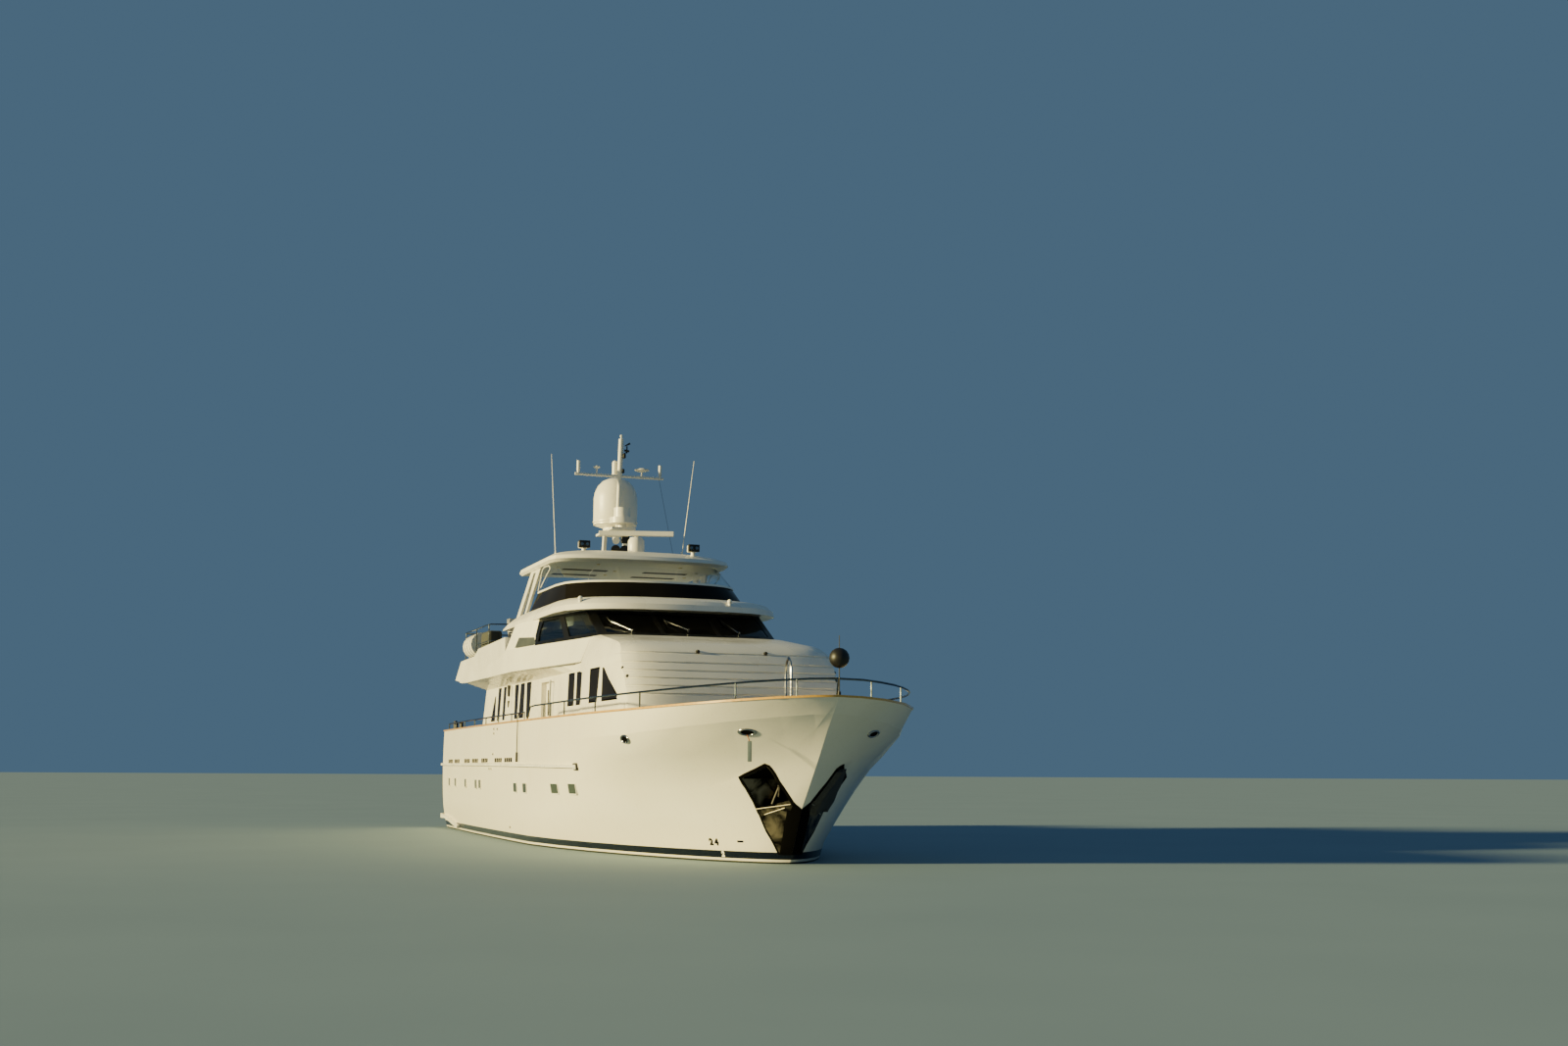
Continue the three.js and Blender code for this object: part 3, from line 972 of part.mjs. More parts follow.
// Boat deck: rail, life raft in its cradle, and the crane's post and boom
const boatDeck = assembly();
const deckFoot = BRIDGE_DECK_Z + GAP;
const DECK_RAIL = {
  y: 2940, aft: -9230, middle: -7300, fore: -5150, inboard: 1500, top: 5810, mid: 5350, turn: 250,
};
const deckRailPath = (z) => {
  const corner = (side) => [
    v3(DECK_RAIL.fore, side * DECK_RAIL.inboard, z),
    v3(DECK_RAIL.fore, side * (DECK_RAIL.y - DECK_RAIL.turn), z),
    v3(DECK_RAIL.fore - DECK_RAIL.turn, side * DECK_RAIL.y, z),
    v3(DECK_RAIL.middle, side * DECK_RAIL.y, z),
    v3(DECK_RAIL.aft + DECK_RAIL.turn, side * DECK_RAIL.y, z),
    v3(DECK_RAIL.aft, side * (DECK_RAIL.y - DECK_RAIL.turn), z),
  ];
  return [...corner(-1), v3(DECK_RAIL.aft, 0, z), ...corner(1).reverse()];
};
const RAIL_POSTS = [
  ...[-1, 1].flatMap((side) => [
    [DECK_RAIL.fore, side * (DECK_RAIL.inboard + 30)],
    [DECK_RAIL.fore - DECK_RAIL.turn - 20, side * DECK_RAIL.y],
    [DECK_RAIL.middle, side * DECK_RAIL.y],
    [DECK_RAIL.aft + DECK_RAIL.turn, side * DECK_RAIL.y],
  ]),
  ...[-1500, 0, 1500].map((y) => [DECK_RAIL.aft, y]),
];
// The middle rail leaves room for the life raft to starboard
const middleRails = [
  tube(deckRailPath(DECK_RAIL.mid).slice(0, 4), 14, 8, 4),
  tube(deckRailPath(DECK_RAIL.mid).slice(5), 14, 18, 4),
];
const boatRail = joined([
  tube(deckRailPath(DECK_RAIL.top), 20, 34, 5),
  ...middleRails,
  ...RAIL_POSTS.map(([x, y]) => rod(v3(x, y, deckFoot), v3(x, y, DECK_RAIL.top), 16, 6)),
]);
piece(boatDeck, 'boat_deck_rail', boatRail, steel);
const RAFT = { x: -8230, y: -2700, z: 5400, radius: 350, half: 660 };
const raftCradle = (x) => box([x - 30, x + 30], [RAFT.y - 180, RAFT.y + 280], [deckFoot, RAFT.z - 150]);
const raft = joined([
  rod(v3(RAFT.x - RAFT.half, RAFT.y, RAFT.z), v3(RAFT.x + RAFT.half, RAFT.y, RAFT.z), RAFT.radius, 16),
  ...[-420, 420].map((off) => raftCradle(RAFT.x + off)),
]);
piece(boatDeck, 'life_raft', raft, whitePlastic);
const GEAR = { x0: -7050, x1: -5950, y0: -2860, y1: -2450, z0: 5160, z1: 5700, bevel: 110 };
const gearEnd = [
  [GEAR.y0, GEAR.z0], [GEAR.y1, GEAR.z0], [GEAR.y1, GEAR.z1 - GEAR.bevel], [GEAR.y1 - GEAR.bevel, GEAR.z1],
  [GEAR.y0 + GEAR.bevel, GEAR.z1], [GEAR.y0, GEAR.z1 - GEAR.bevel],
];
const gearFoot = (x) => box([x, x + 60], [GEAR.y0 + 120, GEAR.y1 - 60], [deckFoot, GEAR.z0 + 20]);
const gear = joined([blockX(gearEnd, GEAR.x0, GEAR.x1), gearFoot(GEAR.x0 + 150), gearFoot(GEAR.x1 - 210)]);
piece(boatDeck, 'covered_gear', gear, coverCloth);
const cheekZ = [CRANE.postZ - 60, CRANE.pivotZ + 100];
const craneCheek = (x) => box([x - 20, x + 20], [CRANE.y - 130, CRANE.y + 90], cheekZ);
const cranePost = joined([
  rod(craneAxis(CRANE.baseZ + GAP), craneAxis(CRANE.postZ), 140, 16),
  ...[-120, 120].map((off) => craneCheek(CRANE.x + off)),
]);
piece(boatDeck, 'crane_post', cranePost, whitePaint);
const boomZ = [CRANE.pivotZ - 80, CRANE.pivotZ + 80];
const craneBoom = joined([
  box([CRANE.x - 85, CRANE.x + 85], [CRANE.y - 70, CRANE.y + CRANE.boom], boomZ),
  rod(v3(CRANE.x - 99.6, CRANE.y, CRANE.pivotZ), v3(CRANE.x + 99.6, CRANE.y, CRANE.pivotZ), 40, 12),
]);
piece(boatDeck, 'crane_boom', craneBoom, greyPlastic);

export default yacht;
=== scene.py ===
import json
import math

import bmesh
import bpy
from mathutils import Matrix, Vector
from mathutils.bvhtree import BVHTree


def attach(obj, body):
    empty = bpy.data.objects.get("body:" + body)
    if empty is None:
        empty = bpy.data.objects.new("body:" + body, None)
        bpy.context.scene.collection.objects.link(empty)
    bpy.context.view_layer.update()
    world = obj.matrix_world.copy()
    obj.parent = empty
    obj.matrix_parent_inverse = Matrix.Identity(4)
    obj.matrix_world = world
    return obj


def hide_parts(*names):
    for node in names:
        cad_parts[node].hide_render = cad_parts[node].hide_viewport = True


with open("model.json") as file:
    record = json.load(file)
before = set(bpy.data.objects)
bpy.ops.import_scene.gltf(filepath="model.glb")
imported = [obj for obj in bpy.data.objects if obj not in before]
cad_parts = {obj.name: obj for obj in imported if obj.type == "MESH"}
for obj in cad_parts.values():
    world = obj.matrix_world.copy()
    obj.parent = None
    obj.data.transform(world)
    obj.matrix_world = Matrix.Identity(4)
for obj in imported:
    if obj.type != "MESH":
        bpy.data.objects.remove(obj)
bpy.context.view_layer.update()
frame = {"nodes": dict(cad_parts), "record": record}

# Camera
# A long view from a small boat off the starboard bow, with the eye 1.8 m above the water.
EYE = Vector((44.565, -12.362, 1.800))
YAW = 0.348597
PITCH = 0.136948
ROLL = 0.0057777
FOCAL_PIXELS = 1836.7
IMAGE_WIDTH = 1600
SENSOR = 36.0
ahead = Vector((-math.cos(YAW) * math.cos(PITCH), math.sin(YAW) * math.cos(PITCH), math.sin(PITCH)))
level = ahead.cross(Vector((0, 0, 1))).normalized()
upward = level.cross(ahead)
rightward = math.cos(ROLL) * level + math.sin(ROLL) * upward
upward = math.cos(ROLL) * upward - math.sin(ROLL) * level


def placed(name, data):
    """A new object in the scene."""
    made = bpy.data.objects.new(name, data)
    bpy.context.collection.objects.link(made)
    return made


camera = placed("camera", bpy.data.cameras.new("camera"))
camera.data.sensor_width = SENSOR
camera.data.lens = FOCAL_PIXELS / IMAGE_WIDTH * SENSOR
camera.data.clip_end = 2000
camera.matrix_world = Matrix.Translation(EYE) @ Matrix((rightward, upward, -ahead)).transposed().to_4x4()
bpy.context.scene.camera = camera


# Studio
# A low warm lamp to starboard, a cool even surround, and a plain pale floor at the waterline.
def tint(code):
    """A colour written as sRGB hex, as the linear values that a shader takes."""
    parts = [int(code[i:i + 2], 16) / 255 for i in (1, 3, 5)]
    return tuple(c / 12.92 if c <= 0.04045 else ((c + 0.055) / 1.055) ** 2.4 for c in parts) + (1,)


def add(tree, kind, settings=None, links=None):
    """Adds a node to a node tree, sets its values and joins its inputs."""
    node = tree.nodes.new("ShaderNode" + kind)
    for name, value in (settings or {}).items():
        if isinstance(name, int) or name in node.inputs:
            node.inputs[name].default_value = value
        else:
            setattr(node, name, value)
    for name, socket in (links or {}).items():
        tree.links.new(socket, node.inputs[name])
    return node


def surface(name, colour, roughness, metallic=0.0, **extra):
    """A new material with its own shader values, and its shader."""
    material = bpy.data.materials.new(name)
    material.use_nodes = True
    shader = material.node_tree.nodes["Principled BSDF"]
    shader.inputs["Base Color"].default_value = tint(colour)
    shader.inputs["Roughness"].default_value = roughness
    shader.inputs["Metallic"].default_value = metallic
    for key, value in extra.items():
        shader.inputs[key.replace("_", " ")].default_value = value
    return material, shader


world = bpy.data.worlds.new("surround")
world.use_nodes = True
world.node_tree.nodes["Background"].inputs["Color"].default_value = tint("#7FA9CC")
world.node_tree.nodes["Background"].inputs["Strength"].default_value = 0.34
bpy.context.scene.world = world

LAMP_FROM = Vector((-0.06, -0.95, 0.19))
lamp = placed("low_lamp", bpy.data.lights.new("low_lamp", "SUN"))
lamp.data.energy = 9.8
lamp.data.angle = math.radians(5)
lamp.data.color = (1.0, 0.85, 0.36)
lamp.rotation_mode = "QUATERNION"
lamp.rotation_quaternion = LAMP_FROM.to_track_quat("Z", "Y")

FLOOR_HALF = 600
floor_material, floor_shader = surface("pale_floor", "#8599A8", 0.8, Specular_IOR_Level=0.2)
floor_tree = floor_material.node_tree
floor_place = add(floor_tree, "TexCoord").outputs["Object"]
floor_speckle = add(floor_tree, "TexNoise", {"Scale": 0.2, "Detail": 4.0}, {"Vector": floor_place})
floor_tones = {"data_type": "RGBA", 6: tint("#8094A3"), 7: tint("#8A9EAC")}
floor_tone = add(floor_tree, "Mix", floor_tones, {0: floor_speckle.outputs["Fac"]})
floor_tree.links.new(floor_tone.outputs[2], floor_shader.inputs["Base Color"])
floor_work = bmesh.new()
bmesh.ops.create_grid(floor_work, x_segments=1, y_segments=1, size=FLOOR_HALF)
floor_mesh = bpy.data.meshes.new("floor")
floor_work.to_mesh(floor_mesh)
floor_work.free()
floor_mesh.materials.append(floor_material)
placed("floor", floor_mesh)

# Hull
# Welded plating, faired and sprayed with a cream-white gloss topside paint. A navy band and a thin white
# line run above the dark antifouling, and the decks inside the bulwark are laid in teak.
BODIES = frame["record"]["behaviour"]["bodies"]
BODY_OF = {node: body for body, nodes in BODIES.items() for node in nodes}
NOISE_ENDS = (0.3, 0.7)
PLANK = 0.055
CAULKING = 0.09
PLANK_GRAIN = (2.0, 60.0, 2.0)


def finish_mesh(name, work, materials, sharp=35, body="yacht"):
    """Makes a bmesh into a piece that rides on a body, smooth but for its sharp edges."""
    for face in work.faces:
        face.smooth = True
    for edge in work.edges:
        edge.smooth = edge.is_manifold and edge.calc_face_angle(0) < math.radians(sharp)
    mesh = bpy.data.meshes.new(name)
    work.to_mesh(mesh)
    work.free()
    for material in materials:
        mesh.materials.append(material)
    made = placed(name, mesh)
    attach(made, body)
    return made


def solid_copy(node):
    """A CAD solid as a bmesh, its corners joined and its flat faces whole."""
    work = bmesh.new()
    work.from_mesh(frame["nodes"][node].data)
    bmesh.ops.remove_doubles(work, verts=work.verts, dist=1e-5)
    bmesh.ops.dissolve_limit(work, angle_limit=math.radians(0.6), verts=work.verts, edges=work.edges)
    return work


def soften_edges(made, width, sharp=35):
    """Rounds a piece's sharp edges."""
    rounding = made.modifiers.new("softened_edges", "BEVEL")
    rounding.width = width
    rounding.segments = 2
    rounding.limit_method = "ANGLE"
    rounding.angle_limit = math.radians(sharp)
    rounding.harden_normals = True


def dress(node, materials, sharp=35, soften=0.0, work=None):
    """Stands a smooth-shaded copy in for a CAD solid."""
    made = finish_mesh(node + "_look", work or solid_copy(node), materials, sharp, BODY_OF[node])
    if soften:
        soften_edges(made, soften, sharp)
    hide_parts(node)
    return made


def object_place(material):
    """The object's own coordinates, and its three parts."""
    place = add(material.node_tree, "TexCoord").outputs["Object"]
    return place, add(place.id_data, "SeparateXYZ", links={0: place})


def maths(operation, first, second=0.0):
    """One step of arithmetic on a socket, with a socket or a number."""
    links = {0: first}
    settings = {"operation": operation}
    if isinstance(second, float):
        settings[1] = second
    else:
        links[1] = second
    return add(first.id_data, "Math", settings, links).outputs[0]


def between(value, low, high):
    """1 where a value lies between two numbers, else 0."""
    above = maths("GREATER_THAN", value, low)
    return maths("MULTIPLY", above, maths("LESS_THAN", value, high))


def blend_colours(share, first, second):
    """A colour between two, each a hex code or a socket, by a share."""
    settings = {"data_type": "RGBA"}
    links = {0: share}
    for slot, colour in ((6, first), (7, second)):
        if isinstance(colour, str):
            settings[slot] = tint(colour)
        else:
            links[slot] = colour
    return add(share.id_data, "Mix", settings, links).outputs[2]


def noise(place, scale, detail, distortion=0.0):
    """Soft noise over a place, from 0 to 1."""
    settings = {"Scale": scale, "Detail": detail, "Distortion": distortion}
    return add(place.id_data, "TexNoise", settings, {"Vector": place}).outputs["Fac"]


def ranged(value, old, new):
    """A value carried over from one range to another, and held at its ends."""
    ends = {1: old[0], 2: old[1], 3: new[0], 4: new[1]}
    return add(value.id_data, "MapRange", ends, {0: value}).outputs[0]


def stretched_by(place, scale):
    """A place stretched along the grain of what is laid over it."""
    return add(place.id_data, "Mapping", {"Scale": scale}, {"Vector": place}).outputs[0]


def feed(shader, name, socket):
    """Joins a socket to one of the shader's inputs."""
    shader.id_data.links.new(socket, shader.inputs[name])


def mottled(shader, place, scale, tones, gloss, detail=4.0):
    """Two tones of one finish in soft patches, with the gloss changing over them."""
    patches = noise(place, scale, detail)
    tone = blend_colours(patches, *tones)
    feed(shader, "Base Color", tone)
    feed(shader, "Roughness", ranged(patches, NOISE_ENDS, gloss))
    return tone


def patchy(name, colour, roughness, scale, tones, gloss, detail=4.0, metallic=0.0, **extra):
    """A finish that is mottled all over."""
    material, shader = surface(name, colour, roughness, metallic, **extra)
    mottled(shader, object_place(material)[0], scale, tones, gloss, detail)
    return material


def planked(place, across):
    """The colour of teak planks with dark caulking between them, laid along the boat."""
    share = maths("FRACT", maths("DIVIDE", across, PLANK))
    grain = noise(stretched_by(place, PLANK_GRAIN), 1.5, 6.0)
    plank = blend_colours(grain, "#8F6F49", "#B59267")
    return blend_colours(maths("LESS_THAN", share, CAULKING), plank, "#1C1A18")


topside_paint, shader = surface("gloss_topside_paint", "#EDE7D8", 0.22, Specular_IOR_Level=0.3)
place, apart = object_place(topside_paint)
height = apart.outputs["Z"]
fairing = noise(place, 0.7, 3.0)
weathered = blend_colours(fairing, "#EDE5D2", "#F5F0E4")
# Rain and scupper streaks, about 40 mm wide, run down the sides
streaks = noise(stretched_by(place, (24.0, 24.0, 0.8)), 1.0, 5.0)
streak_share = ranged(streaks, (0.58, 0.8), (0.0, 0.3))
streaked = blend_colours(streak_share, weathered, "#CDBF9C")
# A tan stain clings to the lowest part of the side, above the band
stain_height = ranged(height, (0.9, 0.2), (0.0, 0.4))
stain_share = maths("MULTIPLY", stain_height, fairing)
stained = blend_colours(stain_share, streaked, "#B9A06E")
# Bands by height: antifouling, white line, navy band, white topsides
LINE_Z = 0.035
BAND_Z = 0.085
TOPSIDE_Z = 0.225
below_line = maths("LESS_THAN", height, LINE_Z)
in_band = between(height, BAND_Z, TOPSIDE_Z)
banded = blend_colours(in_band, stained, "#08101F")
slime = noise(place, 9.0, 6.0)
antifouling = blend_colours(slime, "#141A1E", "#2B3126")
painted = blend_colours(below_line, banded, antifouling)
# Teak planks, 55 mm wide, lie on the level faces inside the bulwark
DECK_Z = (1.9, 2.32)


def facing_up(material):
    """How far a face looks upward, from -1 to 1."""
    normal = add(material.node_tree, "NewGeometry").outputs["Normal"]
    return add(normal.id_data, "SeparateXYZ", links={0: normal}).outputs["Z"]


def bump(height, strength, depth, under=None):
    """A raised pattern, laid over another if one is given."""
    links = {"Height": height}
    if under:
        links["Normal"] = under
    return add(height.id_data, "Bump", {"Strength": strength, "Distance": depth}, links).outputs[0]


level_face = maths("GREATER_THAN", facing_up(topside_paint), 0.9)
on_deck = maths("MULTIPLY", level_face, between(height, *DECK_Z))
deck = planked(place, apart.outputs["Y"])
feed(shader, "Base Color", blend_colours(on_deck, painted, deck))
rough = ranged(on_deck, (0.0, 1.0), (0.2, 0.75))
rough_below = maths("MAXIMUM", rough, maths("MULTIPLY", below_line, 0.7))
feed(shader, "Roughness", rough_below)
ripple = bump(fairing, 0.05, 0.02)
# The bow plating turns under at a soft knuckle that rises forward, and comes back upright below it
KNUCKLE_FROM = 7.5
KNUCKLE_Z = 2.48
KNUCKLE_RISE = 0.0113
KNUCKLE_DEPTH = 1.1
KNUCKLE_BUMP = 0.24
KNUCKLE_FADE = (4.5, 8.5)
from_start = maths("SUBTRACT", apart.outputs["X"], KNUCKLE_FROM)
past = maths("MAXIMUM", from_start, 0.0)
rise = maths("MULTIPLY", maths("MULTIPLY", past, past), KNUCKLE_RISE)
above_knuckle = maths("SUBTRACT", maths("SUBTRACT", height, rise), KNUCKLE_Z)
depth_share = ranged(above_knuckle, (0.0, -KNUCKLE_DEPTH), (0.0, 1.0))
square = maths("MULTIPLY", maths("MULTIPLY", depth_share, depth_share), 0.5)
tucked = maths("SUBTRACT", square, depth_share)
fade = ranged(apart.outputs["X"], KNUCKLE_FADE, (0.0, 1.0))
feed(shader, "Normal", bump(maths("MULTIPLY", tucked, fade), 1.0, KNUCKLE_BUMP, ripple))

# The pockets that the anchors stow in have worn steel cheeks, and their backs are painted black as shade
black_paint = patchy("satin_black_paint", "#15130F", 0.45, 6.0, ("#0E0D0B", "#211E19"), (0.38, 0.55))
# The steel's dark browns are partly stains and partly a painted reflection of dark water
wear_plate, shader = surface("stained_stainless_painted_reflection", "#3A342C", 0.3, 0.85)
place = object_place(wear_plate)[0]
stain = noise(place, 3.2, 7.0, 0.8)
stain_share = ranged(stain, (0.42, 0.62), (0.0, 1.0))
feed(shader, "Base Color", blend_colours(stain_share, "#15110C", "#857A66"))
feed(shader, "Roughness", ranged(stain, NOISE_ENDS, (0.2, 0.5)))
# Openings are painted flat black as their shade; the same black serves the draught figures and plate edges
shade_and_marks_black = patchy("painted_shade_and_black_marks", "#060605", 0.95, 12.0, ("#040404", "#0B0A08"),
                       (0.9, 1.0), Specular_IOR_Level=0.05)
POCKET_X = (11.0, 11.85)
POCKET_Z = (1.0, 1.95)
POCKET_BACK_Y = 0.14
hull_work = solid_copy("hull")
hull_tree = BVHTree.FromBMesh(hull_work)
for face in hull_work.faces:
    middle = face.calc_center_median()
    in_pocket = POCKET_X[0] < middle.x < POCKET_X[1] and POCKET_Z[0] < middle.z < POCKET_Z[1]
    is_side = abs(face.normal.y) < 0.05
    is_back = abs(abs(middle.y) - POCKET_BACK_Y) < 0.01 and abs(face.normal.y) > 0.95
    if in_pocket and (is_side or is_back):
        face.material_index = 2 if is_side and abs(face.normal.x) > 0.8 else 1
dress("hull", [topside_paint, shade_and_marks_black, wear_plate], sharp=20, work=hull_work)

# Cap rail
# Scarfed lengths of teak on the bulwark's top, with many coats of varnish over a golden-brown grain.
varnished_teak, shader = surface("varnished_teak", "#C98A3E", 0.3, Coat_Weight=0.8, Coat_Roughness=0.1)
place = object_place(varnished_teak)[0]
grain_place = stretched_by(place, (0.6, 9.0, 9.0))
mottled(shader, grain_place, 3.0, ("#C08A2C", "#F0C05A"), (0.22, 0.4), 8.0)
dress("cap_rail", [varnished_teak], sharp=30, soften=0.008)

# Rub rails, swim platform, transom gate and ladder
# Steel rub rails painted with the hull, with painted shade in black underneath, a platform laid in teak, and
# a welded ladder.
white_paint, shader = surface("gloss_white_paint", "#F0ECE2", 0.28, Coat_Weight=0.2, Coat_Roughness=0.08)
place = object_place(white_paint)[0]
white_tone = mottled(shader, place, 1.1, ("#ECE6D8", "#F6F3EB"), (0.2, 0.36))
# Drips run down the upright faces only
drip_noise = noise(stretched_by(place, (30.0, 30.0, 1.2)), 1.0, 5.0)
drip_share = ranged(drip_noise, (0.6, 0.82), (0.0, 0.22))
upright = between(facing_up(white_paint), -0.5, 0.8)
drip_share = maths("MULTIPLY", drip_share, upright)
feed(shader, "Base Color", blend_colours(drip_share, white_tone, "#BCA777"))
# The faces under each rail are painted black as shade
for name in ("starboard", "port"):
    rail_work = solid_copy("rub_rail_" + name)
    for face in rail_work.faces:
        if face.normal.z < -0.5:
            face.material_index = 1
    dress("rub_rail_" + name, [white_paint, black_paint], soften=0.01, work=rail_work)
dress("transom_gate", [white_paint], soften=0.004)

laid_teak, shader = surface("laid_teak_deck", "#9C7B52", 0.75)
place, apart = object_place(laid_teak)
feed(shader, "Base Color", planked(place, apart.outputs["Y"]))


def paint_top(work, low, slot=1):
    """Gives the level faces above a height another material."""
    for face in work.faces:
        if face.normal.z > 0.95 and face.calc_center_median().z > low:
            face.material_index = slot


platform_work = solid_copy("swim_platform")
paint_top(platform_work, 0.42)
dress("swim_platform", [white_paint, laid_teak], soften=0.01, work=platform_work)

stainless = patchy("polished_stainless", "#A8A9AA", 0.16, 14.0, ("#8E9092", "#BDBDBC"),
                   (0.1, 0.24), detail=5.0, metallic=1.0)
dress("transom_ladder", [stainless])


def give_slot(made, slot):
    """Gives another material to what an operator has just made."""
    for face in {face for vert in made["verts"] for face in vert.link_faces}:
        face.material_index = slot


def rod(work, start, end, radius, sides=12, end_radius=None, slot=0):
    """Adds a round bar between two points."""
    start = Vector(start)
    along = Vector(end) - start
    turn = along.to_track_quat("Z", "Y").to_matrix().to_4x4()
    made = bmesh.ops.create_cone(work, cap_ends=True, segments=sides, radius1=radius,
                                 radius2=radius if end_radius is None else end_radius, depth=along.length,
                                 matrix=Matrix.Translation(start + along / 2) @ turn)
    give_slot(made, slot)


def face_out(part):
    """Turns every face outward."""
    bmesh.ops.recalc_face_normals(part, faces=part.faces)


def round_over(part, geom, width, steps, affect="EDGES"):
    """Rounds edges or corners over."""
    bmesh.ops.bevel(part, geom=geom, offset=width, segments=steps, profile=0.5, affect=affect, material=-1)


def cube(size):
    """A box about the origin, as a bmesh of its own."""
    part = bmesh.new()
    bmesh.ops.create_cube(part, size=1, matrix=Matrix.Diagonal((*size, 1)))
    return part


def block(work, low, high, bevel=0.0, slot=0, turn=None):
    """Adds a box between two corners, its edges rounded, turned about its middle if asked."""
    low = Vector(low)
    high = Vector(high)
    placing = Matrix.Translation((low + high) / 2)
    if turn:
        placing = placing @ turn
    part = cube(high - low)
    if bevel:
        round_over(part, part.edges[:], bevel, 3)
    stamp(work, part, [placing], slot)


def stamp(work, part, placings=(Matrix.Identity(4),), slot=None):
    """Adds copies of a part at the given places, and frees it."""
    if slot is not None:
        for face in part.faces:
            face.material_index = slot
    pattern = bpy.data.meshes.new("pattern")
    part.to_mesh(pattern)
    part.free()
    for placing in placings:
        copy = pattern.copy()
        copy.transform(placing)
        work.from_mesh(copy)
        bpy.data.meshes.remove(copy)
    bpy.data.meshes.remove(pattern)


def ball(work, centre, radius, slot=0, flat=1.0, sides=16):
    """Adds a sphere, flattened in height if asked."""
    placing = Matrix.Translation(centre) @ Matrix.Diagonal((1, 1, flat, 1))
    made = bmesh.ops.create_uvsphere(work, u_segments=sides, v_segments=sides // 2, radius=radius,
                                     matrix=placing)
    give_slot(made, slot)


def on_hull(x, z, side):
    """The place on the hull's side at a length and height: X along, Y up, Z out of the hull."""
    point, normal, *_ = hull_tree.ray_cast(Vector((x, side * 6, z)), Vector((0, -side, 0)))
    along = Vector((0, 0, 1)).cross(normal).normalized()
    frame_here = Matrix((along, normal.cross(along), normal)).transposed().to_4x4()
    return Matrix.Translation(point) @ frame_here


SIDES = (("starboard", -1), ("port", 1))
# The rub rails end in a white cap on a black bed
# Columns: length, height, depth and material of each layer
RUB_END = (6.02, 1.871)
RUB_CAPS = ((0.27, 0.16, 0.09, 1), (0.22, 0.11, 0.13, 0))
for name, side in SIDES:
    work = bmesh.new()
    for long, high, deep, slot in RUB_CAPS:
        cap = cube((long, high, deep))
        round_over(cap, cap.edges[:], 0.03, 4)
        stamp(work, cap, [on_hull(*RUB_END, side)], slot)
    finish_mesh("rub_rail_end_" + name, work, [white_paint, black_paint])

# Portholes
# Toughened glass in round-cornered frames, which are painted with the hull and stand 20 mm proud of it.
RIM_LET_IN = 0.04
RIM_SLOPE = 0.006
porthole_glass = patchy("grey_green_porthole_glass", "#2F372F", 0.15, 2.0, ("#252C27", "#48524A"),
                        (0.1, 0.2), detail=2.0, Specular_IOR_Level=0.25)


def port_light(width, high, radius, rim, proud, sunk):
    """A framed light with rounded corners: a rim, and glass sunk inside it."""
    part = cube((width, high, proud + RIM_LET_IN))
    bmesh.ops.translate(part, verts=part.verts, vec=(0, 0, (proud - RIM_LET_IN) / 2))
    corners = [edge for edge in part.edges if abs((edge.verts[0].co - edge.verts[1].co).z) > 0.01]
    round_over(part, corners, radius, 5)
    front = max(part.faces, key=lambda face: face.calc_center_median().z)
    bmesh.ops.inset_region(part, faces=[front], thickness=rim)
    bmesh.ops.inset_region(part, faces=[front], thickness=RIM_SLOPE, depth=-sunk)
    front.material_index = 1
    return part


# Columns: length along the boat, height, width, height of the light
PORTHOLES = [
    (-11.01, 1.42, 0.36, 0.28), (-9.67, 1.42, 0.36, 0.28), (-7.65, 1.41, 0.36, 0.28),
    (-5.79, 1.40, 0.36, 0.28), (-5.15, 1.40, 0.36, 0.28), (-0.12, 1.36, 0.46, 0.27),
    (1.04, 1.36, 0.48, 0.27), (4.07, 1.38, 0.58, 0.27), (5.39, 1.39, 0.58, 0.27),
]
for name, side in SIDES:
    work = bmesh.new()
    for x, z, width, high in PORTHOLES:
        stamp(work, port_light(width, high, 0.05, 0.022, 0.020, 0.006), [on_hull(x, z, side)])
    finish_mesh("portholes_" + name, work, [white_paint, porthole_glass], sharp=30)

# Freeing ports, vents and scuppers
# Slots in the bulwark just above the deck let water off it. Each is a painted rim round a face painted black
# as shade.
# The middle of each group of four slots, and the steps to its slots
FREEING_GROUPS = (-10.75, -9.36, -7.39, -5.95, -4.38, -2.35, -0.97)
SLOT_STEPS = (-0.39, -0.13, 0.13, 0.39)
FREEING_Z = 2.04
# Columns: length along the boat, height
VENTS = [(-3.07, 2.86), (-2.59, 2.85), (-3.05, 2.74), (-3.12, 2.20), (-3.68, 1.82), (-3.40, 1.82),
         (-1.02, 0.36)]
for name, side in SIDES:
    work = bmesh.new()
    slots = [on_hull(middle + step, FREEING_Z, side) for middle in FREEING_GROUPS for step in SLOT_STEPS]
    stamp(work, port_light(0.22, 0.13, 0.02, 0.004, 0.010, 0.001), slots)
    vents = [on_hull(x, z, side) for x, z in VENTS]
    stamp(work, port_light(0.14, 0.07, 0.015, 0.006, 0.012, 0.001), vents)
    finish_mesh("freeing_ports_" + name, work, [white_paint, shade_and_marks_black], sharp=30)
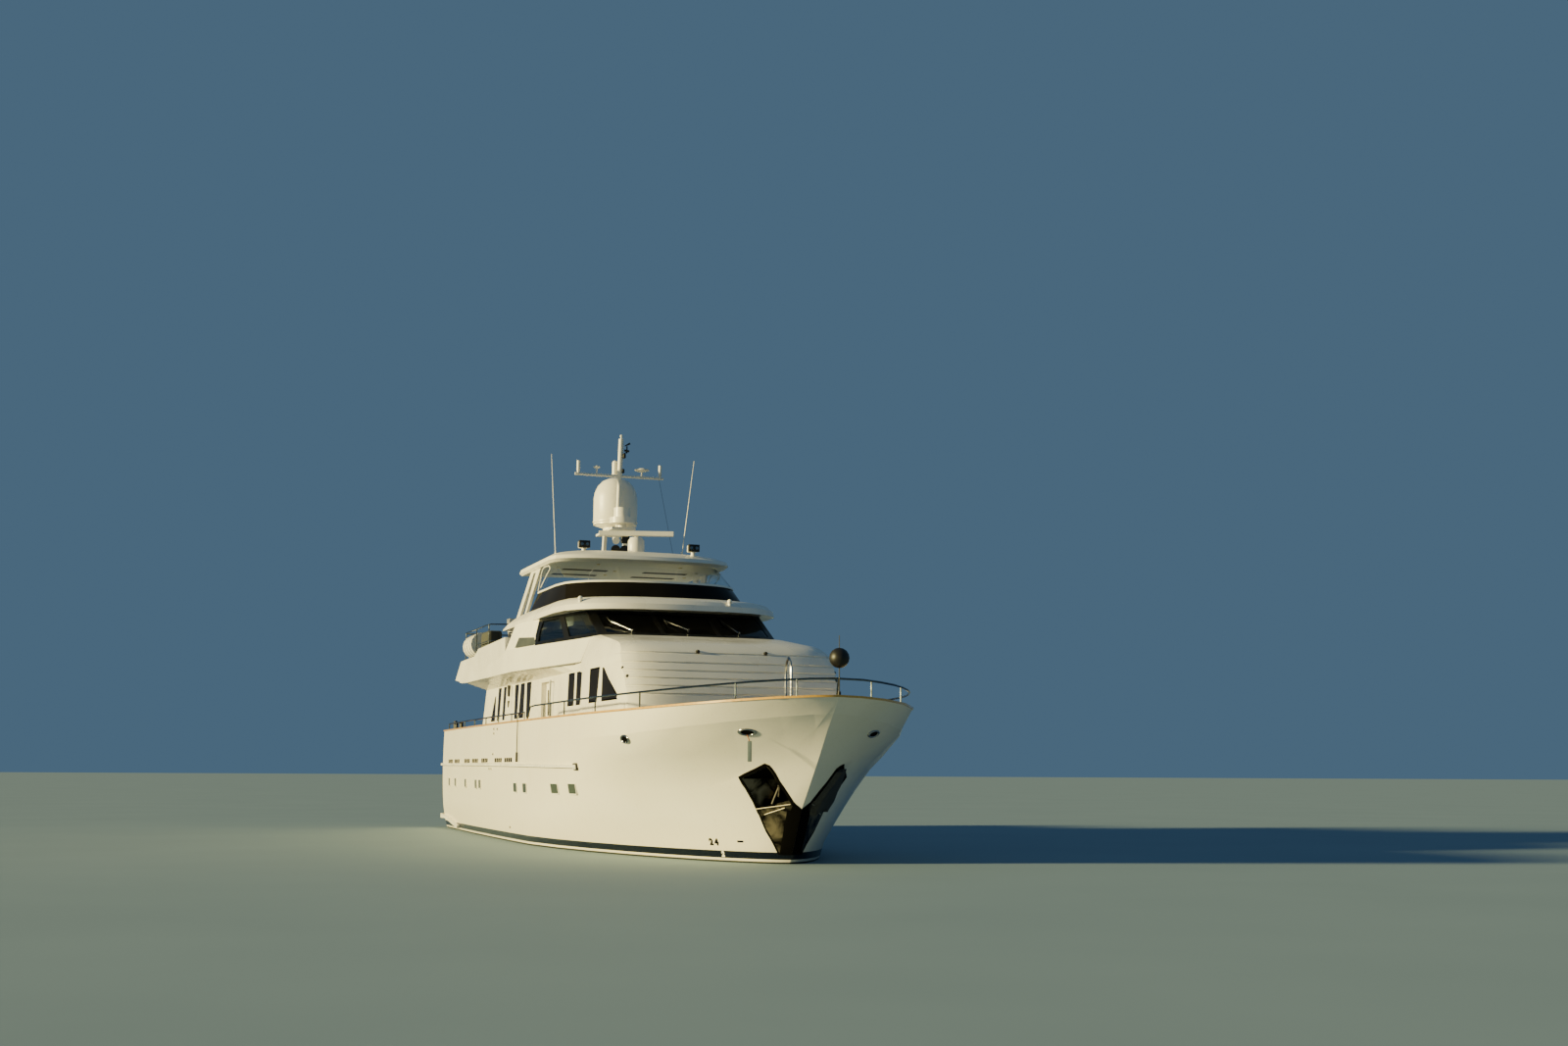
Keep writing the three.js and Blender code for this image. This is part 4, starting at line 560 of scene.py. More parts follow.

# Fairleads
# Oval cast openings in the bulwark for the mooring lines, rimmed in stainless steel, with black painted as
# shade within.
# Columns: length along the boat, height, half length, half height
FAIRLEADS = [(12.13, 2.53, 0.20, 0.10), (9.24, 2.42, 0.20, 0.10)]
RIM_RADIUS = 0.03
RING_RADIUS = 0.12
RING_SIDES = 28
for name, side in SIDES:
    work = bmesh.new()
    for x, z, half_length, half_height in FAIRLEADS:
        rim = bmesh.new()
        upright = Matrix.Translation((RING_RADIUS, 0, 0)) @ Matrix.Rotation(math.pi / 2, 4, "X")
        bmesh.ops.create_circle(rim, segments=10, radius=RIM_RADIUS, matrix=upright)
        bmesh.ops.spin(rim, geom=rim.verts[:] + rim.edges[:], cent=(0, 0, 0), axis=(0, 0, 1),
                       angle=2 * math.pi, steps=RING_SIDES, use_merge=True)
        bmesh.ops.remove_doubles(rim, verts=rim.verts, dist=1e-5)
        face_out(rim)
        hole = bmesh.ops.create_cone(rim, cap_ends=True, segments=RING_SIDES, radius1=RING_RADIUS - 0.005,
                                     radius2=RING_RADIUS - 0.005, depth=RIM_RADIUS)
        give_slot(hole, 1)
        outer = RING_RADIUS + RIM_RADIUS
        bmesh.ops.scale(rim, verts=rim.verts, vec=(half_length / outer, half_height / outer, 1))
        stamp(work, rim, [on_hull(x, z, side)])
    finish_mesh("fairleads_" + name, work, [stainless, shade_and_marks_black], sharp=40)
# A grey tag hangs by an orange lashing below the forward starboard fairlead
tag_plastic = patchy("grey_tag_plastic", "#6E7C80", 0.5, 14.0, ("#657377", "#7A878A"), (0.42, 0.6))
orange_twine = patchy("orange_twine", "#C9702A", 0.8, 90.0, ("#A9561A", "#DB8A45"), (0.7, 0.9))
TAG_TOP = Vector((12.31, -1.30, 2.36))
TAG_HALF_WIDTH = 0.04
TAG_LONG = 0.39
work = bmesh.new()
tag_low = TAG_TOP - Vector((0.004, TAG_HALF_WIDTH, TAG_LONG))
tag_high = TAG_TOP + Vector((0.004, TAG_HALF_WIDTH, 0))
block(work, tag_low, tag_high, 0.003, turn=Matrix.Rotation(math.radians(-20), 4, "Z"))
for off in (-0.006, 0.006):
    rod(work, TAG_TOP + Vector((0, off, -0.01)), (12.25, -1.33 + off, 2.47), 0.005, 6, slot=1)
finish_mesh("fairlead_tag", work, [tag_plastic, orange_twine], sharp=50)

# Draught marks
# Plain figures cut from sheet and painted, black on the topsides and white on the navy band.
white_figure = patchy("white_figure_paint", "#E9E6DC", 0.5, 30.0, ("#D6D2C4", "#F0EDE4"), (0.4, 0.6))


def figures(name, text, size, x, z, material, side=-1):
    """Plain figures that lie on the hull."""
    line = bpy.data.curves.new(name, "FONT")
    line.body = text
    line.size = size
    line.extrude = 0.002
    line.offset = 0.011
    line.align_x = "CENTER"
    line.align_y = "CENTER"
    letters = placed(name + "_letters", line)
    bpy.context.view_layer.update()
    work = bmesh.new()
    work.from_mesh(letters.to_mesh())
    letters.to_mesh_clear()
    bpy.data.objects.remove(letters)
    placing = on_hull(x, z, side) @ Matrix.Translation((0, 0, 0.003))
    bmesh.ops.transform(work, matrix=placing, verts=work.verts)
    finish_mesh(name, work, [material])


figures("draught_figures", "2 4", 0.19, 9.76, 0.385, shade_and_marks_black)
figures("waterline_figure", "2", 0.15, 9.9, 0.155, white_figure)
work = bmesh.new()
dash = bmesh.new()
bmesh.ops.create_grid(dash, x_segments=1, y_segments=1, size=1, matrix=Matrix.Diagonal((0.075, 0.02, 1, 1)))
round_over(dash, dash.verts[:], 0.008, 3, "VERTICES")
bmesh.ops.solidify(dash, geom=dash.faces[:], thickness=-0.004)
face_out(dash)
stamp(work, dash, [on_hull(10.4, 0.42, -1)])
finish_mesh("draught_dash", work, [shade_and_marks_black])

# Rails, jackstaff and deck gear
# Polished tube on welded stanchions, a black jackstaff, a stainless windlass and hoop, and a white hatch.
# The tube is made dark as a painted reflection of the dark water round it
rail_tube = patchy("polished_rail_tube", "#5B6266", 0.2, 8.0, ("#3E454A", "#7B8388"),
                   (0.14, 0.28), detail=4.0, metallic=1.0)
for name in ("bow_rail", "hand_rail_starboard", "hand_rail_port", "boat_deck_rail"):
    dress(name, [rail_tube], sharp=50)
for name in ("foredeck_hoop", "windlass"):
    dress(name, [stainless], sharp=50)
dress("jackstaff", [black_paint], sharp=50)
dress("foredeck_hatch", [white_paint], soften=0.01)


# Hanging line
# A black braided line made fast to the starboard hand rail. It runs on into the rubber weight at its end.
def embossed(shader, pattern, tones, strength, depth):
    """Gives a finish a fine raised pattern in two tones."""
    feed(shader, "Base Color", blend_colours(pattern, *tones))
    feed(shader, "Normal", bump(pattern, strength, depth))


def cells(material, scale):
    """A pattern of small cells over the object."""
    place = object_place(material)[0]
    return add(place.id_data, "TexVoronoi", {"Scale": scale}, {"Vector": place}).outputs["Distance"]


braid, shader = surface("black_braided_line", "#14120F", 0.85)
embossed(shader, cells(braid, 160.0), ("#0C0B09", "#2A2621"), 0.5, 0.002)
rubber = patchy("black_rubber", "#121212", 0.7, 12.0, ("#0E0E0E", "#1E1C1A"), (0.6, 0.8))

LINE_ROUTE = [(0.300, -3.1607, 3.195), (0.300, -3.1947, 3.185), (0.300, -3.2392, 3.120),
              (0.305, -3.2462, 2.900), (0.300, -3.2462, 2.600), (0.290, -3.2462, 2.222),
              (0.290, -3.2462, 2.080)]
LINE_RADIUS = 0.012
line_curve = bpy.data.curves.new("hanging_line_look", "CURVE")
line_curve.dimensions = "3D"
line_curve.bevel_depth = LINE_RADIUS
line_curve.bevel_resolution = 3
line_curve.use_fill_caps = True
line_spline = line_curve.splines.new("BEZIER")
line_spline.bezier_points.add(len(LINE_ROUTE) - 1)
for point, spot in zip(line_spline.bezier_points, LINE_ROUTE):
    point.co = spot
    point.handle_left_type = "AUTO"
    point.handle_right_type = "AUTO"
line_curve.materials.append(braid)
hanging_line = placed("hanging_line_look", line_curve)
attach(hanging_line, "yacht")
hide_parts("hanging_line")
weight_look = dress("line_weight", [rubber], sharp=40, soften=0.006)

# Anchor plates and anchor
# Stainless wear plates round the hawse pockets, stained, darkened with a painted reflection and edged in
# black, and a galvanised anchor.
# Columns: each edge's start and end, length along the boat and height, and the black strip's width there
PLATE_EDGES = [
    (11.135, 1.682, 11.765, 1.942, 0.05), (11.010, 1.012, 11.135, 1.682, 0.05),
    (11.000, 0.180, 11.010, 1.012, 0.035), (11.645, 1.070, 11.800, 1.910, 0.04),
    (11.160, 0.180, 11.645, 1.070, 0.13),
]
PLATE_MIDDLE = Vector((11.35, 0, 1.0))
for name in ("starboard", "port"):
    plate_work = solid_copy("anchor_plate_" + name)
    for start_x, start_z, end_x, end_z, width in PLATE_EDGES:
        start = Vector((start_x, 0, start_z))
        along = Vector((end_x, 0, end_z)) - start
        inward = Vector((-along.z, 0, along.x)).normalized()
        if inward.dot(PLATE_MIDDLE - start) < 0:
            inward.negate()
        whole = plate_work.verts[:] + plate_work.edges[:] + plate_work.faces[:]
        bmesh.ops.bisect_plane(plate_work, geom=whole, plane_co=start + inward * width, plane_no=inward)
        for face in plate_work.faces:
            reach = face.calc_center_median() - start
            share = (reach.x * along.x + reach.z * along.z) / along.length_squared
            if 0 <= share <= 1 and reach.dot(inward) < width:
                face.material_index = 1
    dress("anchor_plate_" + name, [wear_plate, shade_and_marks_black], sharp=25, work=plate_work)
galvanised = patchy("galvanised_iron", "#4A4A48", 0.55, 18.0, ("#2E2B28", "#6A6762"),
                    (0.45, 0.65), metallic=0.8)
dress("stowed_anchor", [galvanised], soften=0.01)
# The starboard pocket holds an anchor's shank, and two worn bars cross each plate at the pocket's foot
# Columns: start and end of each bar, and its radius
WORN_BARS = (((11.05, 0.725, 1.065), (11.63, 0.225, 1.165), 0.010),
             ((11.15, 0.585, 0.960), (11.50, 0.295, 1.095), 0.009))
work = bmesh.new()
rod(work, (11.22, -0.30, 1.52), (11.19, -0.44, 1.16), 0.03)
rod(work, (11.22, -0.30, 1.50), (11.34, -0.36, 1.30), 0.022)
ball(work, (11.22, -0.31, 1.52), 0.04)
bright_bar = patchy("scoured_steel_bar", "#B5AC98", 0.4, 20.0, ("#8C8371", "#D0C8B4"),
                    (0.3, 0.5), metallic=0.6)
for side in (-1, 1):
    for start, end, radius in WORN_BARS:
        across = Vector((1, side, 1))
        rod(work, Vector(start) * across, Vector(end) * across, radius, 10, slot=1)
finish_mesh("anchor_shank_starboard", work, [galvanised, bright_bar], sharp=50)

# Running gear
# Cast bronze propellers and shafts gone dull in sea water, and rudders and fins in antifouling.
bronze = patchy("cast_bronze", "#8A6A3A", 0.4, 7.0, ("#6B5230", "#A5834C"),
                (0.3, 0.5), detail=6.0, metallic=1.0)
bottom_paint = patchy("antifouling_paint", "#1B2122", 0.8, 9.0, ("#141A1E", "#2B3126"),
                      (0.7, 0.85), detail=6.0)
for name in ("starboard", "port"):
    dress("propeller_shaft_" + name, [bronze])
    dress("propeller_" + name, [bronze], soften=0.002)
    dress("rudder_" + name, [bottom_paint], soften=0.006)
    dress("stabiliser_" + name, [bottom_paint], soften=0.006)

# Deckhouse
# Painted steel walls with dark glass behind cut openings, and a moulded ribbed front.
# The cut edges of the window openings are painted dark with the black rubber finish, as shade in the recess
REVEAL_Y = (2.40, 2.449)
REVEAL_Z = (3.15, 4.08)
DOORWAY_X = (-1.8, 2.0)
walls_work = solid_copy("deckhouse_walls")
for face in walls_work.faces:
    middle = face.calc_center_median()
    in_wall = REVEAL_Y[0] < abs(middle.y) < REVEAL_Y[1] and abs(face.normal.y) < 0.3
    at_doorway = DOORWAY_X[0] <= middle.x <= DOORWAY_X[1]
    at_window = REVEAL_Z[0] < middle.z < REVEAL_Z[1] and not at_doorway
    if in_wall and at_window:
        face.material_index = 1
dress("deckhouse_walls", [white_paint, rubber], soften=0.004, work=walls_work)
dress("house_front", [white_paint], sharp=25)
smoked_glass = patchy("smoked_glass", "#0B0B0A", 0.06, 0.9, ("#0D0B09", "#23201B"),
                      (0.02, 0.06), detail=2.0, Specular_IOR_Level=0.02)
for side_name, side in SIDES:
    dress("aft_window_glass_" + side_name, [smoked_glass])
    dress("fore_window_glass_" + side_name, [smoked_glass])
dress("saloon_door", [smoked_glass])

# Window frames
# Welded flat bar round each opening, painted with the walls and standing a little proud of them.
# Columns: aft and forward edge at the foot, aft and forward edge at the head
AFT_WINDOWS = [
    (-7.33, -6.78, -6.73, -6.68), (-6.42, -6.15, -6.23, -5.89), (-5.65, -5.41, -5.48, -5.18),
    (-4.00, -3.70, -3.93, -3.52), (-3.42, -2.89, -3.20, -2.75), (-2.47, -2.13, -2.44, -1.93),
]
FORE_WINDOWS = [
    (2.24, 2.80, 2.34, 2.90), (3.10, 3.70, 3.17, 3.70), (4.54, 5.22, 4.64, 5.47), (5.71, 7.04, 5.78, 5.84),
]
FRAME_WIDTH = 0.035
FRAME_PROUD = 0.005


def window_frame(corners, foot, head, wall, side):
    """A flat bar frame round a raked window, with the outer sheet of its glass flush with the wall."""
    part = bmesh.new()
    bmesh.ops.create_grid(part, x_segments=1, y_segments=1, size=1)
    aft_foot, fore_foot, aft_head, fore_head = corners
    for vert in part.verts:
        low = vert.co.y < 0
        aft = vert.co.x < 0
        x = (aft_foot if aft else fore_foot) if low else (aft_head if aft else fore_head)
        outward_x = -FRAME_WIDTH if aft else FRAME_WIDTH
        outward_z = -FRAME_WIDTH if low else FRAME_WIDTH
        vert.co = (x + outward_x, side * wall, (foot if low else head) + outward_z)
    face_out(part)
    if part.faces[:][0].normal.y * side < 0:
        bmesh.ops.reverse_faces(part, faces=part.faces)
    pane = part.faces[:][0]
    bmesh.ops.inset_region(part, faces=[pane], thickness=FRAME_WIDTH)
    ring = [face for face in part.faces if face != pane]
    glass = bmesh.ops.duplicate(part, geom=[pane])["geom"]
    bmesh.ops.delete(part, geom=[pane], context="FACES_ONLY")
    raised = bmesh.ops.extrude_face_region(part, geom=ring)
    moved = [item for item in raised["geom"] if isinstance(item, bmesh.types.BMVert)]
    bmesh.ops.translate(part, verts=moved, vec=(0, side * FRAME_PROUD, 0))
    face_out(part)
    for face in glass:
        if isinstance(face, bmesh.types.BMFace):
            face.material_index = 1
            if face.normal.y * side < 0:
                face.normal_flip()
    return part


HOUSE_HALF = 2.45
FRONT_HALF = 2.50
FRONT_FROM_X = 3.5
AFT_SILL = 3.195
FORE_SILL = 3.335
for side_name, side in SIDES:
    work = bmesh.new()
    for row in AFT_WINDOWS:
        head = 3.83 if row is AFT_WINDOWS[0] else 4.04
        stamp(work, window_frame(row, AFT_SILL, head, HOUSE_HALF, side))
    for row in FORE_WINDOWS:
        wall = HOUSE_HALF if row[0] < FRONT_FROM_X else FRONT_HALF
        head = 4.01 if row is FORE_WINDOWS[-1] else 4.04
        stamp(work, window_frame(row, FORE_SILL, head, wall, side))
    finish_mesh("window_frames_" + side_name, work, [white_paint, smoked_glass])

# Side doors
# Painted sliding doors with a small flush window, inside the wall, and a stainless grab rail beside each.
DOOR_FACE = 2.325
GRAB_RAIL_Y = 2.53
for side_name, side in SIDES:
    dress("side_door_" + side_name, [white_paint], soften=0.004)
    work = bmesh.new()
    inner, outer = sorted((side * (DOOR_FACE - 0.012), side * (DOOR_FACE + 0.001)))
    block(work, (-0.50, inner, 3.15), (0.0, outer, 3.8), 0.003)
    finish_mesh("side_door_window_" + side_name, work, [smoked_glass], body="side_door_" + side_name)
    work = bmesh.new()
    rail_y = side * GRAB_RAIL_Y
    rod(work, (0.62, rail_y, 2.9), (0.72, rail_y, 4.0), 0.018)
    for x, z in ((0.63, 2.95), (0.715, 3.95)):
        rod(work, (x, side * HOUSE_HALF, z), (x, rail_y, z), 0.014, 10)
    finish_mesh("grab_rail_" + side_name, work, [stainless], sharp=50)

# Aft deck gear
# Black twin bollards of cast iron stand along the aft bulwark, and a rubber fender hangs by the windows.
FENDER_Y = -2.53
work = bmesh.new()
rod(work, (-4.43, FENDER_Y, 4.08), (-4.45, FENDER_Y, 3.78), 0.045, 14, 0.032)
rod(work, (-4.45, FENDER_Y, 3.66), (-4.48, FENDER_Y, 3.48), 0.030, 14, 0.012)
rod(work, (-4.45, FENDER_Y, 3.78), (-4.45, FENDER_Y, 3.66), 0.018, 10, slot=1)
rod(work, (-4.43, -HOUSE_HALF, 4.07), (-4.43, FENDER_Y - 0.01, 4.07), 0.01, 8, slot=1)
finish_mesh("fender_bundle", work, [rubber, white_paint], sharp=50)
# Columns: length along the boat, distance from the centreline, height of each bollard
BOLLARDS = ((-12.40, 2.60, 0.30), (-11.20, 2.78, 0.22), (-9.85, 2.86, 0.20))
BOLLARD_FOOT = 2.99
for side_name, side in SIDES:
    work = bmesh.new()
    for x, y, high in BOLLARDS:
        foot = side * y
        bar_z = BOLLARD_FOOT + high - 0.02
        for off in (-0.09, 0.09):
            rod(work, (x + off, foot, BOLLARD_FOOT), (x + off, foot, BOLLARD_FOOT + high), 0.045, 16)
        rod(work, (x - 0.17, foot, bar_z), (x + 0.17, foot, bar_z), 0.035, 14)
        block(work, (x - 0.18, foot - 0.06, 2.975), (x + 0.18, foot + 0.06, 3.0), 0.01)
    finish_mesh("quarter_bollards_" + side_name, work, [black_paint], sharp=50)

# Bridge deck and pilothouse
# White steel wings, a black band of raked windows, and tinted glass that shows the cabin behind it.
dress("bridge_deck", [white_paint], sharp=20, soften=0.006)
dress("pilothouse_aft_wall", [white_paint], soften=0.004)

pilothouse_paint, shader = surface("pilothouse_paint", "#14130F", 0.4, Specular_IOR_Level=0.2)
place, apart = object_place(pilothouse_paint)
dust = noise(place, 4.0, 5.0)
black_tone = blend_colours(dust, "#050505", "#0C0B0A")
white_side = blend_colours(dust, "#ECE6D8", "#F6F3EB")
# The paint is white aft of a line that leans with the window's edge
EDGE_LEAN = 0.45
EDGE_X = 2.38
lean = maths("MULTIPLY", apart.outputs["Z"], EDGE_LEAN)
along = maths("ADD", apart.outputs["X"], lean)
is_aft = maths("LESS_THAN", along, EDGE_X)
feed(shader, "Base Color", blend_colours(is_aft, black_tone, white_side))
feed(shader, "Roughness", ranged(dust, NOISE_ENDS, (0.3, 0.5)))
dress("pilothouse_walls", [pilothouse_paint], soften=0.004)


def window_glass(name, colour, ior, specular, gloss):
    """Clear sheet with a thin film of salt that dulls it in patches."""
    material, shader = surface(name, colour, gloss[0], Transmission_Weight=1.0)
    shader.inputs["Specular IOR Level"].default_value = specular
    shader.inputs["IOR"].default_value = ior
    film = noise(object_place(material)[0], 1.3, 2.0)
    feed(shader, "Roughness", ranged(film, NOISE_ENDS, gloss))
    return material, shader


# The front panes are tinted dark and the side panes are nearly clear
FRONT_PANES_Y = 2.05
tinted_glass, shader = window_glass("tinted_glass", "#5E6B70", 1.2, 0.3, (0.01, 0.04))
place, apart = object_place(tinted_glass)
in_front = maths("LESS_THAN", maths("ABSOLUTE", apart.outputs["Y"]), FRONT_PANES_Y)
feed(shader, "Base Color", blend_colours(in_front, "#D3DDDF", "#14171A"))
dress("pilothouse_glass", [tinted_glass], sharp=20)

# Grey panels of painted shade
# Dark-grey panels on the sides below and behind the pilothouse windows, painted as the shade of a recess
# there.
recess_shade_panel = patchy("painted_recess_shade_grey", "#4A4F52", 0.4, 3.0, ("#33393B", "#444A4C"), (0.4, 0.55))
# Columns of each corner, by which end and which edge it is at: length, distance from the centreline, height
PANEL_CORNERS = {(-1, -1): (-1.07, 3.055, 4.885), (-1, 1): (-0.97, 2.975, 5.14),
                 (1, 1): (0.02, 2.80, 5.09), (1, -1): (0.28, 2.79, 4.885)}
for side_name, side in SIDES:
    work = bmesh.new()
    bmesh.ops.create_grid(work, x_segments=1, y_segments=1, size=1)
    for vert in work.verts:
        x, y, z = PANEL_CORNERS[(round(vert.co.x), round(vert.co.y))]
        vert.co = (x, side * (y + 0.03), z)
    face_out(work)
    bmesh.ops.solidify(work, geom=work.faces[:], thickness=0.012)
    face_out(work)
    finish_mesh("recess_shade_panel_" + side_name, work, [recess_shade_panel])

# Wheelhouse
# A dark veneered desk under the windscreen and two helm chairs in cream vinyl, seen through the glass.
veneer, shader = surface("dark_walnut_veneer", "#4A2F1C", 0.4)
place = object_place(veneer)[0]
grain_place = stretched_by(place, (4.0, 0.8, 4.0))
mottled(shader, grain_place, 5.0, ("#3A2414", "#6A4427"), (0.3, 0.5), 8.0)
vinyl, shader = surface("cream_vinyl", "#E2DCCB", 0.55)
embossed(shader, cells(vinyl, 260.0), ("#D3CCBA", "#E8E2D2"), 0.2, 0.001)
WHEELHOUSE_Z = 3.74
work = bmesh.new()
block(work, (2.35, -1.7, WHEELHOUSE_Z), (3.35, 1.7, 4.78), 0.04)
block(work, (2.20, -0.9, 4.70), (2.60, 0.9, 4.98), 0.03)
finish_mesh("wheelhouse_desk", work, [veneer])
work = bmesh.new()
for y in (-0.75, 0.75):
    rod(work, (1.3, y, WHEELHOUSE_Z), (1.3, y, 4.3), 0.06, 16, slot=1)
    block(work, (1.05, y - 0.28, 4.3), (1.6, y + 0.28, 4.45), 0.05)
    block(work, (1.02, y - 0.28, 4.4), (1.14, y + 0.28, 5.1), 0.05)
finish_mesh("wheelhouse_chairs", work, [vinyl, stainless])

# Windscreen wipers
# Stainless pantograph arms on three spindles below the windscreen, with black rubber blades.
# Columns: the spindle at the glass's foot, then the middle of the blade
WIPERS = [((4.19, -1.41, 5.01), (3.62, -1.81, 5.27)), ((4.18, -0.05, 5.06), (3.65, -0.48, 5.31)),
          ((4.19, 1.20, 5.02), (3.53, 0.97, 5.35))]
GLASS_UP = Vector((-0.92, 0, 0.40))
GLASS_OUT = Vector((0.40, 0, 0.92))
ARM_GAP = 0.013
BLADE_HALF = 0.26
BLADE_SUNK = GLASS_OUT * 0.012
work = bmesh.new()
for spindle, head in WIPERS:
    spindle = Vector(spindle)
    head = Vector(head)
    aside = GLASS_OUT.cross(head - spindle).normalized() * ARM_GAP
    rod(work, spindle - GLASS_OUT * 0.05, spindle + GLASS_OUT * 0.03, 0.026, 14)
    for off in (-1, 1):
        rod(work, spindle + aside * off, head + aside * off, 0.0055, 8)
    rod(work, head - aside * 1.4, head + aside * 1.4, 0.007, 8)
    rod(work, head - GLASS_UP * 0.08, head + GLASS_UP * 0.08, 0.010, 8)
    blade = GLASS_UP * BLADE_HALF
    rod(work, head - blade - BLADE_SUNK, head + blade - BLADE_SUNK, 0.010, 6, slot=1)
finish_mesh("windscreen_wipers", work, [stainless, rubber], sharp=50)

# Flybridge
# A moulded deck with a tinted screen, a white capping and clear panels up to the hardtop.
for name in ("flybridge_deck", "screen_capping"):
    dress(name, [white_paint], sharp=20)
for name in ("hardtop_pillars_starboard", "hardtop_pillars_port"):
    dress(name, [white_paint], soften=0.01)
dress("flybridge_screen", [smoked_glass], sharp=20)
clear_glass, shader = window_glass("clear_glass", "#EEF4F5", 1.1, 0.2, (0.0, 0.01))
dress("clear_screen", [clear_glass], sharp=20)
moulded_plastic = patchy("moulded_white_plastic", "#EFEBE0", 0.35, 3.0, ("#EAE5D8", "#F3F0E7"), (0.28, 0.42))
dress("hardtop", [moulded_plastic], sharp=20)
dress("helm_console", [moulded_plastic], soften=0.02)


def bent_tube(work, points, radius):
    """Adds a tube through points, with a ball at each bend."""
    for start, end in zip(points, points[1:]):
        rod(work, start, end, radius, 10)
    for point in points[1:-1]:
        ball(work, point, radius, sides=10)


# A white tube frame stands at the aft edge of each clear panel, and a short aerial behind the screen
CURTAIN_FRAME = [(-2.03, 6.47), (-1.64, 6.90), (-1.52, 6.98), (-1.34, 7.02), (-0.87, 7.01),
                 (-0.72, 6.97), (-0.66, 6.91), (-1.00, 6.80), (-1.73, 6.53)]
CURTAIN_Y = 2.305
AERIAL_ROUTE = [(0.92, -1.70, 6.25), (0.91, -1.69, 6.45), (0.90, -1.64, 6.66), (0.90, -1.56, 6.77)]
work = bmesh.new()
for side in (-1, 1):
    bent_tube(work, [(x, side * CURTAIN_Y, z) for x, z in CURTAIN_FRAME], 0.014)
bent_tube(work, AERIAL_ROUTE, 0.006)
finish_mesh("curtain_frames", work, [moulded_plastic], sharp=60)

# Cushions
# Foam pads in stitched cream vinyl: three seats and three backs on the settee, a seat and a back at the helm.
PAD_CELL = 0.03
PAD_FRAMES = 20
PAD_PRESSURE = 4
PAD_REACH = 0.022
PAD_SHRINK = 0.014
STITCH_DIP = 0.012
STITCH_WIDTH = 0.03


def shaped(pad):
    """The mesh that a piece's modifiers give, in place of them."""
    seen = pad.evaluated_get(bpy.context.evaluated_depsgraph_get())
    pad.data = bpy.data.meshes.new_from_object(seen)
    pad.modifiers.clear()


def cushion(name, low, high, stitches, lean=0.0):
    """A pad blown up as cloth within its room, crowned, with stitched channels across it."""
    low = Vector(low)
    high = Vector(high)
    start = bmesh.new()
    shrink = Vector((PAD_SHRINK,) * 3)
    block(start, low + shrink, high - shrink, 0.025)
    plain = bpy.data.meshes.new(name + "_plain")
    start.to_mesh(plain)
    start.free()
    pad = placed(name + "_plain", plain)
    even = pad.modifiers.new("even", "REMESH")
    even.mode = "VOXEL"
    even.voxel_size = PAD_CELL
    shaped(pad)
    before = [vert.co.copy() for vert in pad.data.vertices]
    cloth = pad.modifiers.new("filling", "CLOTH")
    cloth.settings.use_pressure = True
    cloth.settings.uniform_pressure_force = PAD_PRESSURE
    cloth.settings.effector_weights.gravity = 0
    cloth.point_cache.frame_end = PAD_FRAMES
    for number in range(1, PAD_FRAMES + 1):
        bpy.context.scene.frame_set(number)
    shaped(pad)
    bpy.context.scene.frame_set(1)
    work = bmesh.new()
    work.from_mesh(pad.data)
    bpy.data.objects.remove(pad)
    thin = min(range(3), key=lambda axis: high[axis] - low[axis])
    middle = (low + high) / 2
    for vert, old in zip(work.verts, before):
        move = vert.co - old
        if move.length > PAD_REACH:
            vert.co = old + move.normalized() * PAD_REACH
        for axis, at in stitches:
            near = max(0.0, 1 - abs(vert.co[axis] - at) / STITCH_WIDTH)
            vert.co[thin] -= math.copysign(STITCH_DIP * near * near, vert.co[thin] - middle[thin])
        for axis in range(3):
            vert.co[axis] = min(max(vert.co[axis], low[axis]), high[axis])
    tilt = Matrix.Rotation(lean, 3, "Y")
    bmesh.ops.rotate(work, verts=work.verts, cent=(middle.x, middle.y, low.z), matrix=tilt)
    made = finish_mesh(name, work, [vinyl], sharp=180)
    smooth = made.modifiers.new("rounded", "SUBSURF")
    smooth.levels = 1
    smooth.render_levels = 1
    return made


# Stitches: the axis that a channel lies across, and its place on it
helm_pad = cushion("helm_seat_cushion", (-0.51, -0.30, 5.705), (0.02, 0.30, 5.83), [(1, 0.0)])
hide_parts("helm_seat")
BACK_LEAN = math.radians(-6)
cushion("helm_seat_back", (-0.51, -0.29, 5.84), (-0.41, 0.29, 6.32), [(2, 6.0), (2, 6.16)], BACK_LEAN)
FLYBRIDGE_Z = 5.3505
work = bmesh.new()
rod(work, (-0.25, 0, FLYBRIDGE_Z), (-0.25, 0, 5.69), 0.06, 20)
rod(work, (-0.25, 0, FLYBRIDGE_Z), (-0.25, 0, 5.37), 0.12, 24)
block(work, (-0.49, -0.27, 5.685), (0.0, 0.27, 5.703), 0.006)
for y in (-0.24, 0.24):
    rod(work, (-0.47, y, 5.695), (-0.50, y, 5.86), 0.014, 10)
finish_mesh("helm_seat_frame", work, [stainless], sharp=50)
work = bmesh.new()
block(work, (-3.29, 1.26, FLYBRIDGE_Z), (-1.51, 2.08, 5.598), 0.03)
block(work, (-3.29, 2.03, 5.55), (-1.51, 2.085, 6.0), 0.02)
settee_base = finish_mesh("settee_base", work, [moulded_plastic], sharp=40)
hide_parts("flybridge_settee")
SEAT_MIDDLES = (-3.0, -2.4, -1.8)
SEAT_HALF = 0.296
for number, x in enumerate(SEAT_MIDDLES):
    aft = x - SEAT_HALF
    fore = x + SEAT_HALF
    cushion("settee_seat_%d" % number, (aft, 1.255, 5.60), (fore, 1.90, 5.725), [(0, x)])
    cushion("settee_back_%d" % number, (aft, 1.905, 5.65), (fore, 2.028, 6.06), [(0, x)])

